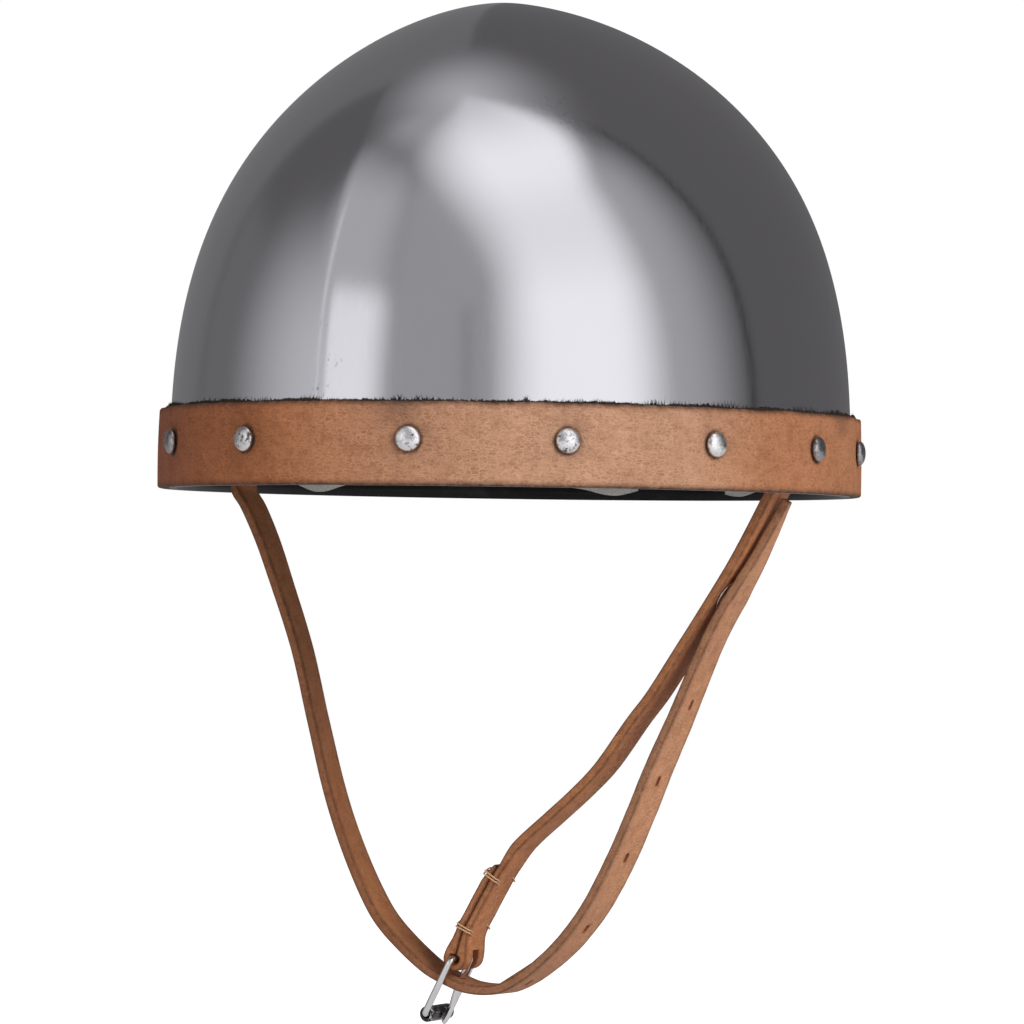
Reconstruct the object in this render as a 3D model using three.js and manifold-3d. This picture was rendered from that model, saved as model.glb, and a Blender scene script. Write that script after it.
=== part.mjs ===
import * as THREE from 'three';
import { mergeVertices } from 'three/addons/utils/BufferGeometryUtils.js';
import Module from 'manifold-3d';

// A plain steel skull-cap helmet with a riveted leather brow band, a tongued lining and a
// buckled chin strap. Millimetres. The face looks along -Y, the wearer's left is +X, up is +Z.
// The origin is the middle of the brow opening, in the plane of the rim.

const wasm = await Module();
wasm.setup();

// Skull, pressed from one sheet, with a soft keel from front to back
const skullHalfWidth = 97;
const skullHalfLength = 117.5;
const skullHeight = 145.3;
const steelThickness = 2;
const apexSetBack = 5.7;
const keelShare = 0.048;
const acrossRiseShare = 2.86;
const acrossRoundShare = 1.53;
const alongRiseShare = 2.76;
const alongRoundShare = 2.15;

// Brow band
const bandHeight = 23.2;
const bandThickness = 3;
const bandEdgeRound = 0.7;
const bandEndsGap = 0.8;

// Rivets and their washers. Places are counted in fourteenths of the way round from the front.
const rivetHeight = 12.8;
const rivetHeadDiameter = 8.2;
const rivetHeadHeight = 2.2;
const headRimShare = 0.25;
const rivetShankDiameter = 2.8;
const rivetButtonDiameter = 4.2;
const rivetButtonHeight = 0.9;
const buttonTopShare = 0.7;
const washerDiameter = 7;
const washerThickness = 0.8;
const rivetPlaceShares = [
	13.5, 0.55, 1.45, 2.43, 3.42, 4.3, 5.3, 6.4, 7.5, 8.55, 9.6, 10.58, 11.5, 12.6,
].map((place) => place / 14);

// Lining: seven tongues of thin leather, drawn together at the crown by a lace
const linerThickness = 1.2;
const linerFlatHeight = 24;
const linerCrownInset = 25;
const linerCrownShare = 0.972;
const tongueMargin = 10;
const tongueTipHalfWidth = 5.6;
const tongueLowEdge = 1.3;
const tongueEdgeRise = 4.5;
const tongueSagPower = 6;
const tongueHem = 7;
const tongueDrawShare = 1.5;
const tongueTaperShare = 0.8;
const tongueClimbShares = [0, 0.11, 0.22, 0.34, 0.46, 0.58, 0.7, 0.8, 0.9, 1];
const tongueFootRow = 2;
const tongueMiddleShare = 0.42;
const laceDiameter = 2;
const laceTailLength = 34;
const laceKnotDiameter = 6.4;

// Chin strap
const strapWidth = 12.5;
const strapThickness = 2.8;
const strapEdgeRound = 0.5;
const strapEnd = 6.6;
const strapEndShare = 0.3;
const strapTaper = 20;
const strapTipWidth = 2.4;
const strapDrop = 147.2;
const tailLean = 10;
const farLean = 8;
const holeSpacing = 24.7;
const holeLength = 5;
const holeWidth = 2;
const tailHoles = 5;
const studDepth = 53;
const studHeadDiameter = 10.5;
const studHeadHeight = 1;
const chapeLength = 31;
const chapeBlend = 10;
const chapeEyeLength = 8;
const chapeThickness = 2.1;
const chapeSkive = 6;

// Buckle: a wire frame with a roller, and a prong that the frame leans on
const wireDiameter = 2;
const frameHalfWidth = 8;
const frameReach = 19;
const frameCornerRadius = 1.6;
const frameLean = 27.5;
const barPlaceShares = [-0.141, -0.9383];
const rollerDiameter = 4.7;
const prongDiameter = 1.8;
const prongTipShare = 0.43;
const prongTipTaperShare = 0.2;
const prongBowShare = 0.79;
const prongBowPower = 3;
const prongSlotWidth = 3.2;
const strapUnderBar = 7.4;
const crossingShares = [[-0.85, 1.05], [0, 1], [0.85, 0.86]];
const prongWrapShare = 0.7;

// Clearances
const gap = 0.3;
const linerPlay = 0.5;
const strapPlay = 1.3;
const washerPlay = 0.6;
const barPlay = 0.6;
const overrun = 6;

// How finely curved pieces are divided
const skullSegments = 64;
const skullOuterRows = 15;
const skullInnerRows = 11;
const roundSides = 9;
const rollerSides = 18;
const wireSides = 8;
const cordSides = 6;
const cornerSteps = 4;
const foldSteps = 9;
const domeSteps = 3;
const endSteps = 3;
const laceSteps = 54;
const tailSteps = 6;
const longStrapSteps = 62;
const nearStrapSteps = 28;
const chapeSteps = 15;
const foldBackSteps = 11;
const prongWrapSteps = 14;
const prongSteps = 16;
const measuringSteps = 2000;

const roundTheHead = 2 * Math.PI;
const up = new THREE.Vector3(0, 0, 1);
const across = new THREE.Vector3(0, 1, 0);

// Colours and finishes
const steel = { color: 0x9a9aa0, roughness: 0.28, metalness: 1 };
const rivetSteel = { color: 0x8a8a8d, roughness: 0.4, metalness: 1 };
const nickel = { color: 0xb8b5b2, roughness: 0.2, metalness: 1 };
const blackSteel = { color: 0x17171a, roughness: 0.35, metalness: 1 };
const tanLeather = { color: 0xa9714a, roughness: 0.62, metalness: 0 };
const strapLeather = { color: 0x96633f, roughness: 0.6, metalness: 0 };
const linerLeather = { color: 0x8f8676, roughness: 0.9, metalness: 0 };
const laceCord = { color: 0x3a2d22, roughness: 0.85, metalness: 0 };

const part = new THREE.Group();

function addPiece(name, geometry, finish, parent = part) {
	const mesh = new THREE.Mesh(geometry, new THREE.MeshStandardMaterial(finish));
	mesh.name = name;
	parent.add(mesh);
	return mesh;
}

// Small tools for closed surfaces

function closedSurface(points, triangles) {
	const signedVolume = triangles.reduce((sum, [a, b, c]) => {
		const normal = new THREE.Vector3().crossVectors(points[b], points[c]);
		return sum + points[a].dot(normal);
	}, 0);
	const outward = signedVolume > 0 ? triangles : triangles.map(([a, b, c]) => [a, c, b]);
	const geometry = new THREE.BufferGeometry().setFromPoints(points);
	geometry.setIndex(outward.flat());
	return geometry;
}

function loft(rings) {
	const starts = [];
	const points = [];
	for (const ring of rings) {
		starts.push(points.length);
		points.push(...ring);
	}
	const triangles = [];
	for (let row = 0; row + 1 < rings.length; row += 1) {
		const here = rings[row].length;
		const next = rings[row + 1].length;
		for (let step = 0; step < Math.max(here, next); step += 1) {
			const a = starts[row] + (step % here);
			const b = starts[row] + ((step + 1) % here);
			const c = starts[row + 1] + (step % next);
			const d = starts[row + 1] + ((step + 1) % next);
			if (here > 1) triangles.push([a, b, d]);
			if (next > 1) triangles.push([a, d, c]);
		}
	}
	const last = rings.length - 1;
	for (let step = 1; step + 1 < rings[0].length; step += 1) {
		triangles.push([starts[0], starts[0] + step + 1, starts[0] + step]);
	}
	for (let step = 1; step + 1 < rings[last].length; step += 1) {
		triangles.push([starts[last], starts[last] + step, starts[last] + step + 1]);
	}
	return closedSurface(points, triangles);
}

function loftLoop(rings) {
	const size = rings[0].length;
	const points = rings.flat();
	const triangles = [];
	for (let row = 0; row < rings.length; row += 1) {
		const next = (row + 1) % rings.length;
		for (let step = 0; step < size; step += 1) {
			const turn = (step + 1) % size;
			triangles.push([row * size + step, row * size + turn, next * size + turn]);
			triangles.push([row * size + step, next * size + turn, next * size + step]);
		}
	}
	return closedSurface(points, triangles);
}

function sheet(front, back) {
	const rows = front.length;
	const columns = front[0].length;
	const points = [...front.flat(), ...back.flat()];
	const behind = rows * columns;
	const at = (row, column) => row * columns + column;
	const triangles = [];
	for (let row = 0; row + 1 < rows; row += 1) {
		for (let column = 0; column + 1 < columns; column += 1) {
			const [a, b] = [at(row, column), at(row, column + 1)];
			const [c, d] = [at(row + 1, column + 1), at(row + 1, column)];
			triangles.push([a, b, c], [a, c, d]);
			triangles.push([behind + a, behind + c, behind + b], [behind + a, behind + d, behind + c]);
		}
	}
	const rim = [];
	for (let column = 0; column + 1 < columns; column += 1) rim.push(at(0, column));
	for (let row = 0; row + 1 < rows; row += 1) rim.push(at(row, columns - 1));
	for (let column = columns - 1; column > 0; column -= 1) rim.push(at(rows - 1, column));
	for (let row = rows - 1; row > 0; row -= 1) rim.push(at(row, 0));
	rim.forEach((a, step) => {
		const b = rim[(step + 1) % rim.length];
		triangles.push([b, a, behind + a], [b, behind + a, behind + b]);
	});
	return closedSurface(points, triangles);
}

function asSolid(geometry) {
	const bare = geometry.clone();
	bare.deleteAttribute('normal');
	bare.deleteAttribute('uv');
	const merged = mergeVertices(bare);
	const corners = merged.index.array;
	const kept = [];
	let at = 0;
	while (at < corners.length) {
		const [a, b, c] = [corners[at], corners[at + 1], corners[at + 2]];
		if (a !== b && b !== c && c !== a) kept.push(a, b, c);
		at += merged.attributes.position.itemSize;
	}
	return new wasm.Manifold(new wasm.Mesh({
		numProp: merged.attributes.position.itemSize,
		vertProperties: new Float32Array(merged.attributes.position.array),
		triVerts: new Uint32Array(kept),
	}));
}

function asGeometry(solid) {
	const mesh = solid.getMesh();
	const geometry = new THREE.BufferGeometry();
	geometry.setAttribute('position', new THREE.BufferAttribute(mesh.vertProperties, mesh.numProp));
	geometry.setIndex(new THREE.BufferAttribute(mesh.triVerts, 1));
	return geometry;
}

function cut(geometry, tools) {
	return asGeometry(tools.map(asSolid).reduce((solid, tool) => solid.subtract(tool), asSolid(geometry)));
}

function joined(geometries) {
	return asGeometry(geometries.map(asSolid).reduce((solid, next) => solid.add(next)));
}

function drill(at, axis, diameter, length) {
	const tool = new THREE.CylinderGeometry(diameter / 2, diameter / 2, length, roundSides);
	tool.applyQuaternion(new THREE.Quaternion().setFromUnitVectors(across, axis));
	tool.translate(at.x, at.y, at.z);
	return tool;
}

function revolved(profile, segments) {
	const outline = profile.map(([radius, height]) => new THREE.Vector2(radius, height));
	return new THREE.LatheGeometry(outline, segments);
}

function spread(low, high, count) {
	return Array.from({ length: count + 1 }, (_, step) => low + ((high - low) * step) / count);
}

// The skull's form. turn is 0 at the front and grows towards the wearer's left.

function wallPoint(turn, height, inset) {
	const rise = Math.max(height, 0) / (skullHeight - inset);
	const halfWidth = (skullHalfWidth - inset)
		* Math.max(1 - rise ** acrossRiseShare, 0) ** (1 / acrossRoundShare);
	const halfLength = (skullHalfLength - inset)
		* Math.max(1 - rise ** alongRiseShare, 0) ** (1 / alongRoundShare);
	const ahead = Math.cos(turn);
	const keel = keelShare * halfWidth * (1 - Math.abs(Math.sin(turn))) * Math.sign(ahead);
	const oval = (halfLength - keelShare * halfWidth) * ahead;
	return new THREE.Vector3(halfWidth * Math.sin(turn), apexSetBack * rise ** 2 - oval - keel, height);
}

function wallNormal(turn, height, inset) {
	const step = roundTheHead / measuringSteps;
	const before = wallPoint(turn - step, height, inset);
	const along = wallPoint(turn + step, height, inset).sub(before);
	return along.cross(up).normalize();
}

// Gives the turn at which a share of the way round the rivet line has been covered
function turnsByLength() {
	const steps = measuringSteps;
	const lengths = [0];
	let last = wallPoint(0, rivetHeight, 0);
	for (const turn of spread(0, roundTheHead, steps).slice(1)) {
		const next = wallPoint(turn, rivetHeight, 0);
		lengths.push(lengths[lengths.length - 1] + next.distanceTo(last));
		last = next;
	}
	return (share) => {
		const wanted = share * lengths[steps];
		const after = lengths.findIndex((length, step) => step > 0 && length >= wanted);
		const part = (wanted - lengths[after - 1]) / (lengths[after] - lengths[after - 1]);
		return ((after - 1 + part) * roundTheHead) / steps;
	};
}

// The widest rivet on either side holds the chin strap as well, and points straight out
const rivetTurns = rivetPlaceShares.map(turnsByLength());
const rivetReaches = rivetTurns.map((turn) => wallPoint(turn, rivetHeight, 0).x);
const earReaches = [Math.max(...rivetReaches), Math.min(...rivetReaches)];

const rivets = rivetTurns.map((turn, index) => {
	const at = wallPoint(turn, rivetHeight, 0);
	const ear = earReaches.includes(rivetReaches[index]);
	const axis = ear ? new THREE.Vector3(Math.sign(at.x), 0, 0) : wallNormal(turn, rivetHeight, 0);
	return { turn, at, axis, ear };
});
const nearEar = rivets[rivetReaches.indexOf(earReaches[0])];

const linerDepth = steelThickness + linerPlay + linerThickness;
const strapDepth = linerDepth + strapPlay + strapThickness;
const strapPlane = nearEar.at.y;
const anchorReach = nearEar.at.x - strapDepth + strapThickness / 2;

function rivetDrills(diameter) {
	const length = 2 * (bandThickness + strapDepth + overrun);
	return rivets.map(({ at, axis }) => drill(at, axis, diameter, length));
}

// Skull shell: outer face, flat rim, inner face

function skullShell() {
	const turns = spread(0, roundTheHead, skullSegments).slice(0, -1);
	const ring = (height, inset) => turns.map((turn) => wallPoint(turn, height, inset));
	const innerHeight = skullHeight - steelThickness;
	const risen = (share) => 1 - (1 - share) ** 2;
	const outer = spread(1, 0, skullOuterRows).slice(1).map(risen);
	const inner = spread(0, 1, skullInnerRows).slice(0, -1).map(risen);
	const rings = [
		[wallPoint(0, skullHeight, 0)],
		...outer.map((share) => ring(share * skullHeight, 0)),
		...inner.map((share) => ring(share * innerHeight, steelThickness)),
		[wallPoint(0, innerHeight, steelThickness)],
	];
	return cut(loft(rings), rivetDrills(rivetShankDiameter + 2 * gap));
}

// A strip's section: a flat oblong with its corners eased, as points of (across, outwards)
function stripSection(low, high, inside, outside, ease) {
	return [
		[low + ease, inside], [high - ease, inside], [high, inside + ease], [high, outside - ease],
		[high - ease, outside], [low + ease, outside], [low, outside - ease], [low, inside + ease],
	];
}

// Brow band: one strip bent round the steel, its ends butted at the back

function browBand() {
	const section = stripSection(0, bandHeight, gap, gap + bandThickness, bandEdgeRound);
	const turns = spread(-Math.PI, Math.PI, skullSegments);
	turns[0] += bandEndsGap / 2 / skullHalfWidth;
	turns[skullSegments] -= bandEndsGap / 2 / skullHalfWidth;
	const rings = turns.map((turn) => section.map(([height, out]) => wallPoint(turn, height, -out)));
	return cut(loft(rings), rivetDrills(rivetShankDiameter + 2 * gap));
}

// Rivets: a domed head outside, a shank through the stack, a hammered button inside

function stackDepth(ear) {
	return (ear ? strapDepth : linerDepth) + washerPlay + washerThickness + gap;
}

function rivetGeometry(headDiameter, headHeight, seat, depth) {
	const head = headDiameter / 2;
	const shank = rivetShankDiameter / 2;
	const button = rivetButtonDiameter / 2;
	const foot = -depth - rivetButtonHeight;
	const dome = spread(0, Math.PI / 2, domeSteps).map((angle) => [
		head * Math.cos(angle),
		seat + headHeight * (headRimShare + (1 - headRimShare) * Math.sin(angle)),
	]);
	return revolved([
		[0, foot], [button * buttonTopShare, foot], [button, -depth],
		[shank, -depth], [shank, seat], [head, seat], ...dome.slice(0, -1), [0, seat + headHeight],
	], roundSides);
}

function washerGeometry() {
	const hole = rivetShankDiameter / 2 + gap;
	const edge = washerDiameter / 2;
	return revolved([
		[hole, 0], [edge, 0], [edge, washerThickness], [hole, washerThickness], [hole, 0],
	], roundSides);
}

function setAlong(mesh, at, axis) {
	mesh.position.copy(at);
	mesh.quaternion.setFromUnitVectors(across, axis);
}

function addBandRivets() {
	rivets.forEach(({ at, axis, ear }, index) => {
		const number = String(index + 1).padStart(2, '0');
		const seat = gap + bandThickness + gap;
		const depth = stackDepth(ear);
		const rivet = rivetGeometry(rivetHeadDiameter, rivetHeadHeight, seat, depth);
		setAlong(addPiece(`rivet_${number}`, rivet, rivetSteel), at, axis);
		const washerAt = at.clone().addScaledVector(axis, -depth + gap);
		setAlong(addPiece(`washer_${number}`, washerGeometry(), rivetSteel), washerAt, axis);
	});
}

// Lining tongues: flat on the steel at the rivets, then drawn in to the crown and hemmed there

function linerPoint(turn, climb, lowEdge) {
	const top = linerCrownShare * (skullHeight - linerCrownInset);
	const height = lowEdge + (top - lowEdge) * Math.sin((climb * Math.PI) / 2);
	const free = Math.max(height - linerFlatHeight, 0) / (top - linerFlatHeight);
	const flat = steelThickness + linerPlay + linerThickness / 2;
	return wallPoint(turn, height, flat + (linerCrownInset - flat) * free ** tongueDrawShare);
}

function tongueFrame(turn, climb, lowEdge) {
	const step = 1 / measuringSteps;
	const at = linerPoint(turn, climb, lowEdge);
	const rise = linerPoint(turn, climb, lowEdge).sub(linerPoint(turn, climb - step, lowEdge)).normalize();
	const round = linerPoint(turn + step, climb, lowEdge).sub(linerPoint(turn - step, climb, lowEdge));
	const speed = round.length() / (2 * step);
	const out = round.normalize().cross(rise).normalize();
	return { at, rise, out, speed };
}

const laceTunnel = laceDiameter / 2 + 2 * gap + linerThickness / 2;

function facesOf(at, facing) {
	return [1, -1].map((side) => at.clone().addScaledVector(facing, (side * linerThickness) / 2));
}

function hemFaces(turn, lowEdge) {
	const { at, rise, out } = tongueFrame(turn, 1, lowEdge);
	const middle = at.clone().addScaledVector(out, laceTunnel);
	const folded = spread(0, Math.PI, cornerSteps).slice(1).map((angle) => {
		const facing = rise.clone().multiplyScalar(Math.sin(angle)).addScaledVector(out, -Math.cos(angle));
		return facesOf(middle.clone().addScaledVector(facing, laceTunnel), facing);
	});
	const end = at.clone().addScaledVector(rise, -tongueHem).addScaledVector(out, 2 * laceTunnel - gap);
	return [...folded, facesOf(end, out)];
}

function tongue(first, second) {
	const climbs = tongueClimbShares;
	const footClimb = climbs[tongueFootRow];
	const lastTurn = second.turn < first.turn ? second.turn + roundTheHead : second.turn;
	const middleTurn = (first.turn + lastTurn) / 2;
	const speeds = climbs.map((climb) => tongueFrame(middleTurn, climb, 0).speed);
	const rivetHalf = ((lastTurn - first.turn) / 2) * speeds[0];
	const footHalf = rivetHalf + tongueMargin;
	const rivetSide = rivetHalf / footHalf;
	const sides = [-1, -rivetSide, -rivetSide * tongueMiddleShare, 0, rivetSide * tongueMiddleShare, rivetSide, 1];
	const columns = sides.map((side) => {
		const lowEdge = tongueEdgeRise - (tongueEdgeRise - tongueLowEdge) * (1 - side ** 2) ** tongueSagPower;
		const turns = climbs.map((climb, row) => {
			const taper = Math.max(climb - footClimb, 0) / (1 - footClimb);
			const half = footHalf + (tongueTipHalfWidth - footHalf) * taper ** tongueTaperShare;
			return middleTurn + (side * half) / speeds[row];
		});
		const rising = climbs.map((climb, row) => {
			const { at, out } = tongueFrame(turns[row], climb, lowEdge);
			return facesOf(at, out.negate());
		});
		return [...rising, ...hemFaces(turns[turns.length - 1], lowEdge)];
	});
	const [front, back] = [0, 1].map((face) => columns.map((column) => column.map((faces) => faces[face])));
	return cut(sheet(front, back), rivetDrills(rivetShankDiameter + 2 * gap));
}

function addTongues() {
	for (let pair = 0; pair < rivets.length; pair += 2) {
		const name = `liner_tongue_${pair / 2 + 1}`;
		addPiece(name, tongue(rivets[pair], rivets[pair + 1]), linerLeather);
	}
}

// Crown lace: once round through the hems, its two ends knotted together at the back

function lacePoint(turn) {
	const { at, out } = tongueFrame(turn, 1, 0);
	return at.addScaledVector(out, laceTunnel);
}

function roundSection(diameter, sides) {
	const corners = spread(0, roundTheHead, sides).slice(0, -1);
	const radius = diameter / 2;
	return new THREE.Shape(corners.map((angle) => new THREE.Vector2(
		radius * Math.cos(angle),
		radius * Math.sin(angle),
	)));
}

function cordAlong(points, diameter, steps) {
	return new THREE.ExtrudeGeometry(roundSection(diameter, cordSides), {
		steps, extrudePath: new THREE.CatmullRomCurve3(points), bevelEnabled: false,
	});
}

function crownLace() {
	const beforeKnot = Math.max(...rivetTurns.filter((turn) => turn < Math.PI));
	const afterKnot = Math.min(...rivetTurns.filter((turn) => turn >= Math.PI));
	const knotTurn = (beforeKnot + afterKnot) / 2;
	const turns = spread(knotTurn, knotTurn + roundTheHead, skullSegments);
	const knotAt = lacePoint(knotTurn);
	const knot = new THREE.SphereGeometry(laceKnotDiameter / 2, roundSides, cordSides);
	knot.translate(knotAt.x, knotAt.y, knotAt.z);
	const tails = [-1, 1].map((side) => {
		const turnsDown = new THREE.Vector3(side * laceKnotDiameter, 0, -laceTailLength / 2).add(knotAt);
		const end = new THREE.Vector3(side * laceKnotDiameter, 0, -laceTailLength).add(knotAt);
		return cordAlong([knotAt, turnsDown, end], laceDiameter, tailSteps);
	});
	return joined([cordAlong(turns.map(lacePoint), laceDiameter, laceSteps), knot, ...tails]);
}

// Chin strap: flat strips swept in the plane of the two ear rivets

const lean = THREE.MathUtils.degToRad(frameLean);
const anchorTop = rivetHeight + strapEnd;
const anchorLow = rivetHeight - strapEnd;

function strapPoint(x, z) {
	return new THREE.Vector3(x, strapPlane, z);
}

function strapPoints(shares) {
	return shares.map(([reach, drop]) => strapPoint(reach * anchorReach, drop * strapDrop));
}

const barAt = strapPoints([barPlaceShares])[0];

function fromBar(sideways, down) {
	return strapPoint(
		barAt.x + sideways * Math.cos(lean) - down * Math.sin(lean),
		barAt.z - sideways * Math.sin(lean) - down * Math.cos(lean),
	);
}

const longStrapRoute = new THREE.CatmullRomCurve3([
	strapPoint(-anchorReach, anchorTop),
	strapPoint(-anchorReach, anchorLow),
	...strapPoints([
		[-0.996, 0.004], [-0.962, -0.027], [-0.906, -0.095], [-0.855, -0.172],
		[-0.765, -0.32], [-0.7, -0.467], [-0.632, -0.613], [-0.572, -0.71],
		[-0.496, -0.806], [-0.433, -0.866], [-0.348, -0.917],
	]),
	...crossingShares.map(([sideways, down]) => (
		fromBar(sideways * strapUnderBar, down * strapUnderBar)
	)),
	...strapPoints([
		[-0.046, -1], [0.02, -0.996], [0.084, -0.978], [0.149, -0.951],
		[0.236, -0.905], [0.331, -0.835], [0.423, -0.737], [0.497, -0.64],
		[0.564, -0.543], [0.636, -0.448], [0.761, -0.277], [0.846, -0.189],
		[0.909, -0.124], [1.004, -0.013],
	]),
], false, 'centripetal');

const nearStrapRoute = new THREE.CatmullRomCurve3([
	strapPoint(anchorReach, anchorTop),
	strapPoint(anchorReach, anchorLow),
	...strapPoints([
		[0.962, -0.006], [0.856, -0.124], [0.765, -0.211], [0.653, -0.313],
		[0.555, -0.401], [0.49, -0.45], [0.37, -0.547], [0.289, -0.596],
		[0.195, -0.646], [0.099, -0.696], [0.018, -0.746], [-0.043, -0.806],
		[-0.078, -0.844], [-0.11, -0.88],
	]),
	barAt,
], false, 'centripetal');

const longStrapLength = longStrapRoute.getLength();
const nearStrapLength = nearStrapRoute.getLength();

function facingOf(along) {
	return across.clone().cross(along).normalize();
}

function onRoute(route, length, distance) {
	const share = THREE.MathUtils.clamp(distance / length, 0, 1);
	const along = route.getTangentAt(share);
	return { at: route.getPointAt(share), along, facing: facingOf(along) };
}

function strapRing({ at, facing, side = across, halfWidth = strapWidth / 2, low, high }) {
	const ease = Math.min(strapEdgeRound, (high - low) / 2 - gap / 2);
	return stripSection(-halfWidth, halfWidth, low, high, ease).map(([wide, thick]) => (
		at.clone().addScaledVector(side, wide).addScaledVector(facing, thick)
	));
}

// Half the width of a strap whose end is rounded, a distance in from that end
function roundedEnd(distance) {
	const radius = strapWidth / 2;
	const inside = Math.max(radius - distance, 0) / radius;
	return radius * Math.max(Math.sqrt(1 - inside ** 2), strapEndShare);
}

function punch(frame, length, width) {
	const middle = (length - width) / 2;
	const outline = new THREE.Shape();
	outline.absarc(middle, 0, width / 2, -Math.PI / 2, Math.PI / 2);
	outline.absarc(-middle, 0, width / 2, Math.PI / 2, Math.PI + Math.PI / 2);
	const tool = new THREE.ExtrudeGeometry(outline, {
		depth: 2 * overrun, bevelEnabled: false, curveSegments: cornerSteps,
	});
	const side = (frame.side ?? across).clone().negate();
	tool.translate(0, 0, -overrun);
	tool.applyMatrix4(new THREE.Matrix4().makeBasis(frame.along, side, frame.facing));
	return tool.translate(frame.at.x, frame.at.y, frame.at.z);
}

// Long strap: from the far ear, through the buckle, its tail up beside the near strap. Its rear edge
// turns a little outwards halfway along either run.

function turned(frame, distance) {
	const onTail = distance > crossingDistance;
	const start = onTail ? crossingDistance + holeSpacing / 2 : anchorTop - anchorLow;
	const end = onTail ? longStrapLength - 2 * holeSpacing : crossingDistance - holeSpacing;
	const share = THREE.MathUtils.clamp((distance - start) / (end - start), 0, 1);
	const angle = THREE.MathUtils.degToRad(onTail ? tailLean : farLean) * Math.sin(share * Math.PI);
	const side = across.clone().applyAxisAngle(frame.along, -angle);
	const facing = frame.facing.clone().applyAxisAngle(frame.along, -angle);
	return { ...frame, side, facing };
}

function distanceOf(point) {
	const distances = spread(0, longStrapLength, measuringSteps);
	const misses = distances.map((distance) => (
		onRoute(longStrapRoute, longStrapLength, distance).at.distanceTo(point)
	));
	return distances[misses.indexOf(Math.min(...misses))];
}

const crossingDistance = distanceOf(fromBar(0, strapUnderBar));

function longStrap() {
	const half = strapThickness / 2;
	const distances = [
		...spread(0, strapEnd, endSteps),
		...spread(strapEnd, longStrapLength - strapTaper, longStrapSteps).slice(1),
		...spread(longStrapLength - strapTaper, longStrapLength, cornerSteps).slice(1),
	];
	const rings = distances.map((distance) => {
		const frame = turned(onRoute(longStrapRoute, longStrapLength, distance), distance);
		const left = Math.min((longStrapLength - distance) / strapTaper, 1);
		const tip = strapTipWidth + (strapWidth - strapTipWidth) * left;
		const halfWidth = Math.min(roundedEnd(distance), tip / 2);
		return strapRing({ ...frame, halfWidth, low: -half, high: half });
	});
	const prongHole = crossingDistance + prongOut(strapUnderBar) - (holeLength - prongDiameter) / 2 + gap;
	const atProng = onRoute(longStrapRoute, longStrapLength, prongHole);
	const holes = [punch(atProng, holeLength, prongDiameter + 2 * gap)];
	for (let count = 1; count <= tailHoles; count += 1) {
		const distance = prongHole + count * holeSpacing;
		const frame = turned(onRoute(longStrapRoute, longStrapLength, distance), distance);
		holes.push(punch(frame, holeLength, holeWidth));
	}
	return cut(loft(rings), [...holes, earDrill(-1)]);
}

function earDrill(side) {
	const at = strapPoint(side * anchorReach, rivetHeight);
	return drill(at, new THREE.Vector3(1, 0, 0), rivetShankDiameter + 2 * gap, 2 * overrun);
}

// Near strap: from the near ear down to the buckle, with a stud through it below the rim

function studFrame() {
	return onRoute(nearStrapRoute, nearStrapLength, studDepth);
}

function studDrill() {
	const { at, facing } = studFrame();
	return drill(at, facing, rivetShankDiameter + 2 * gap, 2 * overrun);
}

// Its chape is the lower end, thinned, folded round the buckle's bar and sewn back on itself

function chapeOffset(toBar) {
	const closed = (chapeThickness + gap) / 2;
	const open = wireDiameter / 2 + barPlay + chapeThickness / 2;
	if (toBar > chapeLength) {
		return closed * (1 - THREE.MathUtils.smoothstep(toBar, chapeLength, chapeLength + chapeBlend));
	}
	return open + (closed - open) * THREE.MathUtils.smoothstep(toBar, 0, chapeEyeLength);
}

function chapePoint(toBar, side) {
	const { at, facing } = onRoute(nearStrapRoute, nearStrapLength, nearStrapLength - toBar);
	return at.addScaledVector(facing, side * chapeOffset(toBar));
}

function thinnedHalf(toBar) {
	const share = THREE.MathUtils.smoothstep(toBar, chapeLength, chapeLength + chapeBlend);
	return (chapeThickness + (strapThickness - chapeThickness) * share) / 2;
}

function buckleStrap() {
	const bodyLength = nearStrapLength - chapeLength - chapeBlend;
	const distances = [
		...spread(0, strapEnd, endSteps),
		...spread(strapEnd, bodyLength, nearStrapSteps).slice(1),
	];
	const body = distances.map((distance) => ({
		at: onRoute(nearStrapRoute, nearStrapLength, distance).at,
		half: strapThickness / 2,
		halfWidth: roundedEnd(distance),
	}));
	const outer = spread(chapeLength + chapeBlend, 0, chapeSteps).slice(1).map((toBar) => ({
		at: chapePoint(toBar, -1),
		half: thinnedHalf(toBar),
	}));
	const { along, facing } = onRoute(nearStrapRoute, nearStrapLength, nearStrapLength);
	const wrap = spread(0, Math.PI, foldSteps).slice(1, -1).map((angle) => ({
		at: barAt.clone()
			.addScaledVector(facing, -chapeOffset(0) * Math.cos(angle))
			.addScaledVector(along, chapeOffset(0) * Math.sin(angle)),
		half: chapeThickness / 2,
	}));
	const inner = spread(0, chapeLength, foldBackSteps).map((toBar) => ({
		at: chapePoint(toBar, 1),
		half: chapeThickness / 2,
		pared: Math.max(1 - (chapeLength - toBar) / chapeSkive, 0),
	}));
	const stations = [...body, ...outer, ...wrap, ...inner];
	const rings = stations.map(({ at, half, halfWidth, pared = 0 }, index) => {
		const before = stations[Math.max(index - 1, 0)].at;
		const after = stations[Math.min(index + 1, stations.length - 1)].at;
		const outwards = facingOf(after.clone().sub(before).normalize());
		return strapRing({ at, facing: outwards, halfWidth, low: half * (pared - 1), high: half });
	});
	const slotSize = 2 * (chapeOffset(0) + chapeThickness);
	const slot = new THREE.BoxGeometry(slotSize, prongSlotWidth, slotSize);
	slot.rotateY(lean).translate(barAt.x, barAt.y, barAt.z);
	return cut(loft(rings), [slot, earDrill(1), studDrill()]);
}

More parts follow.
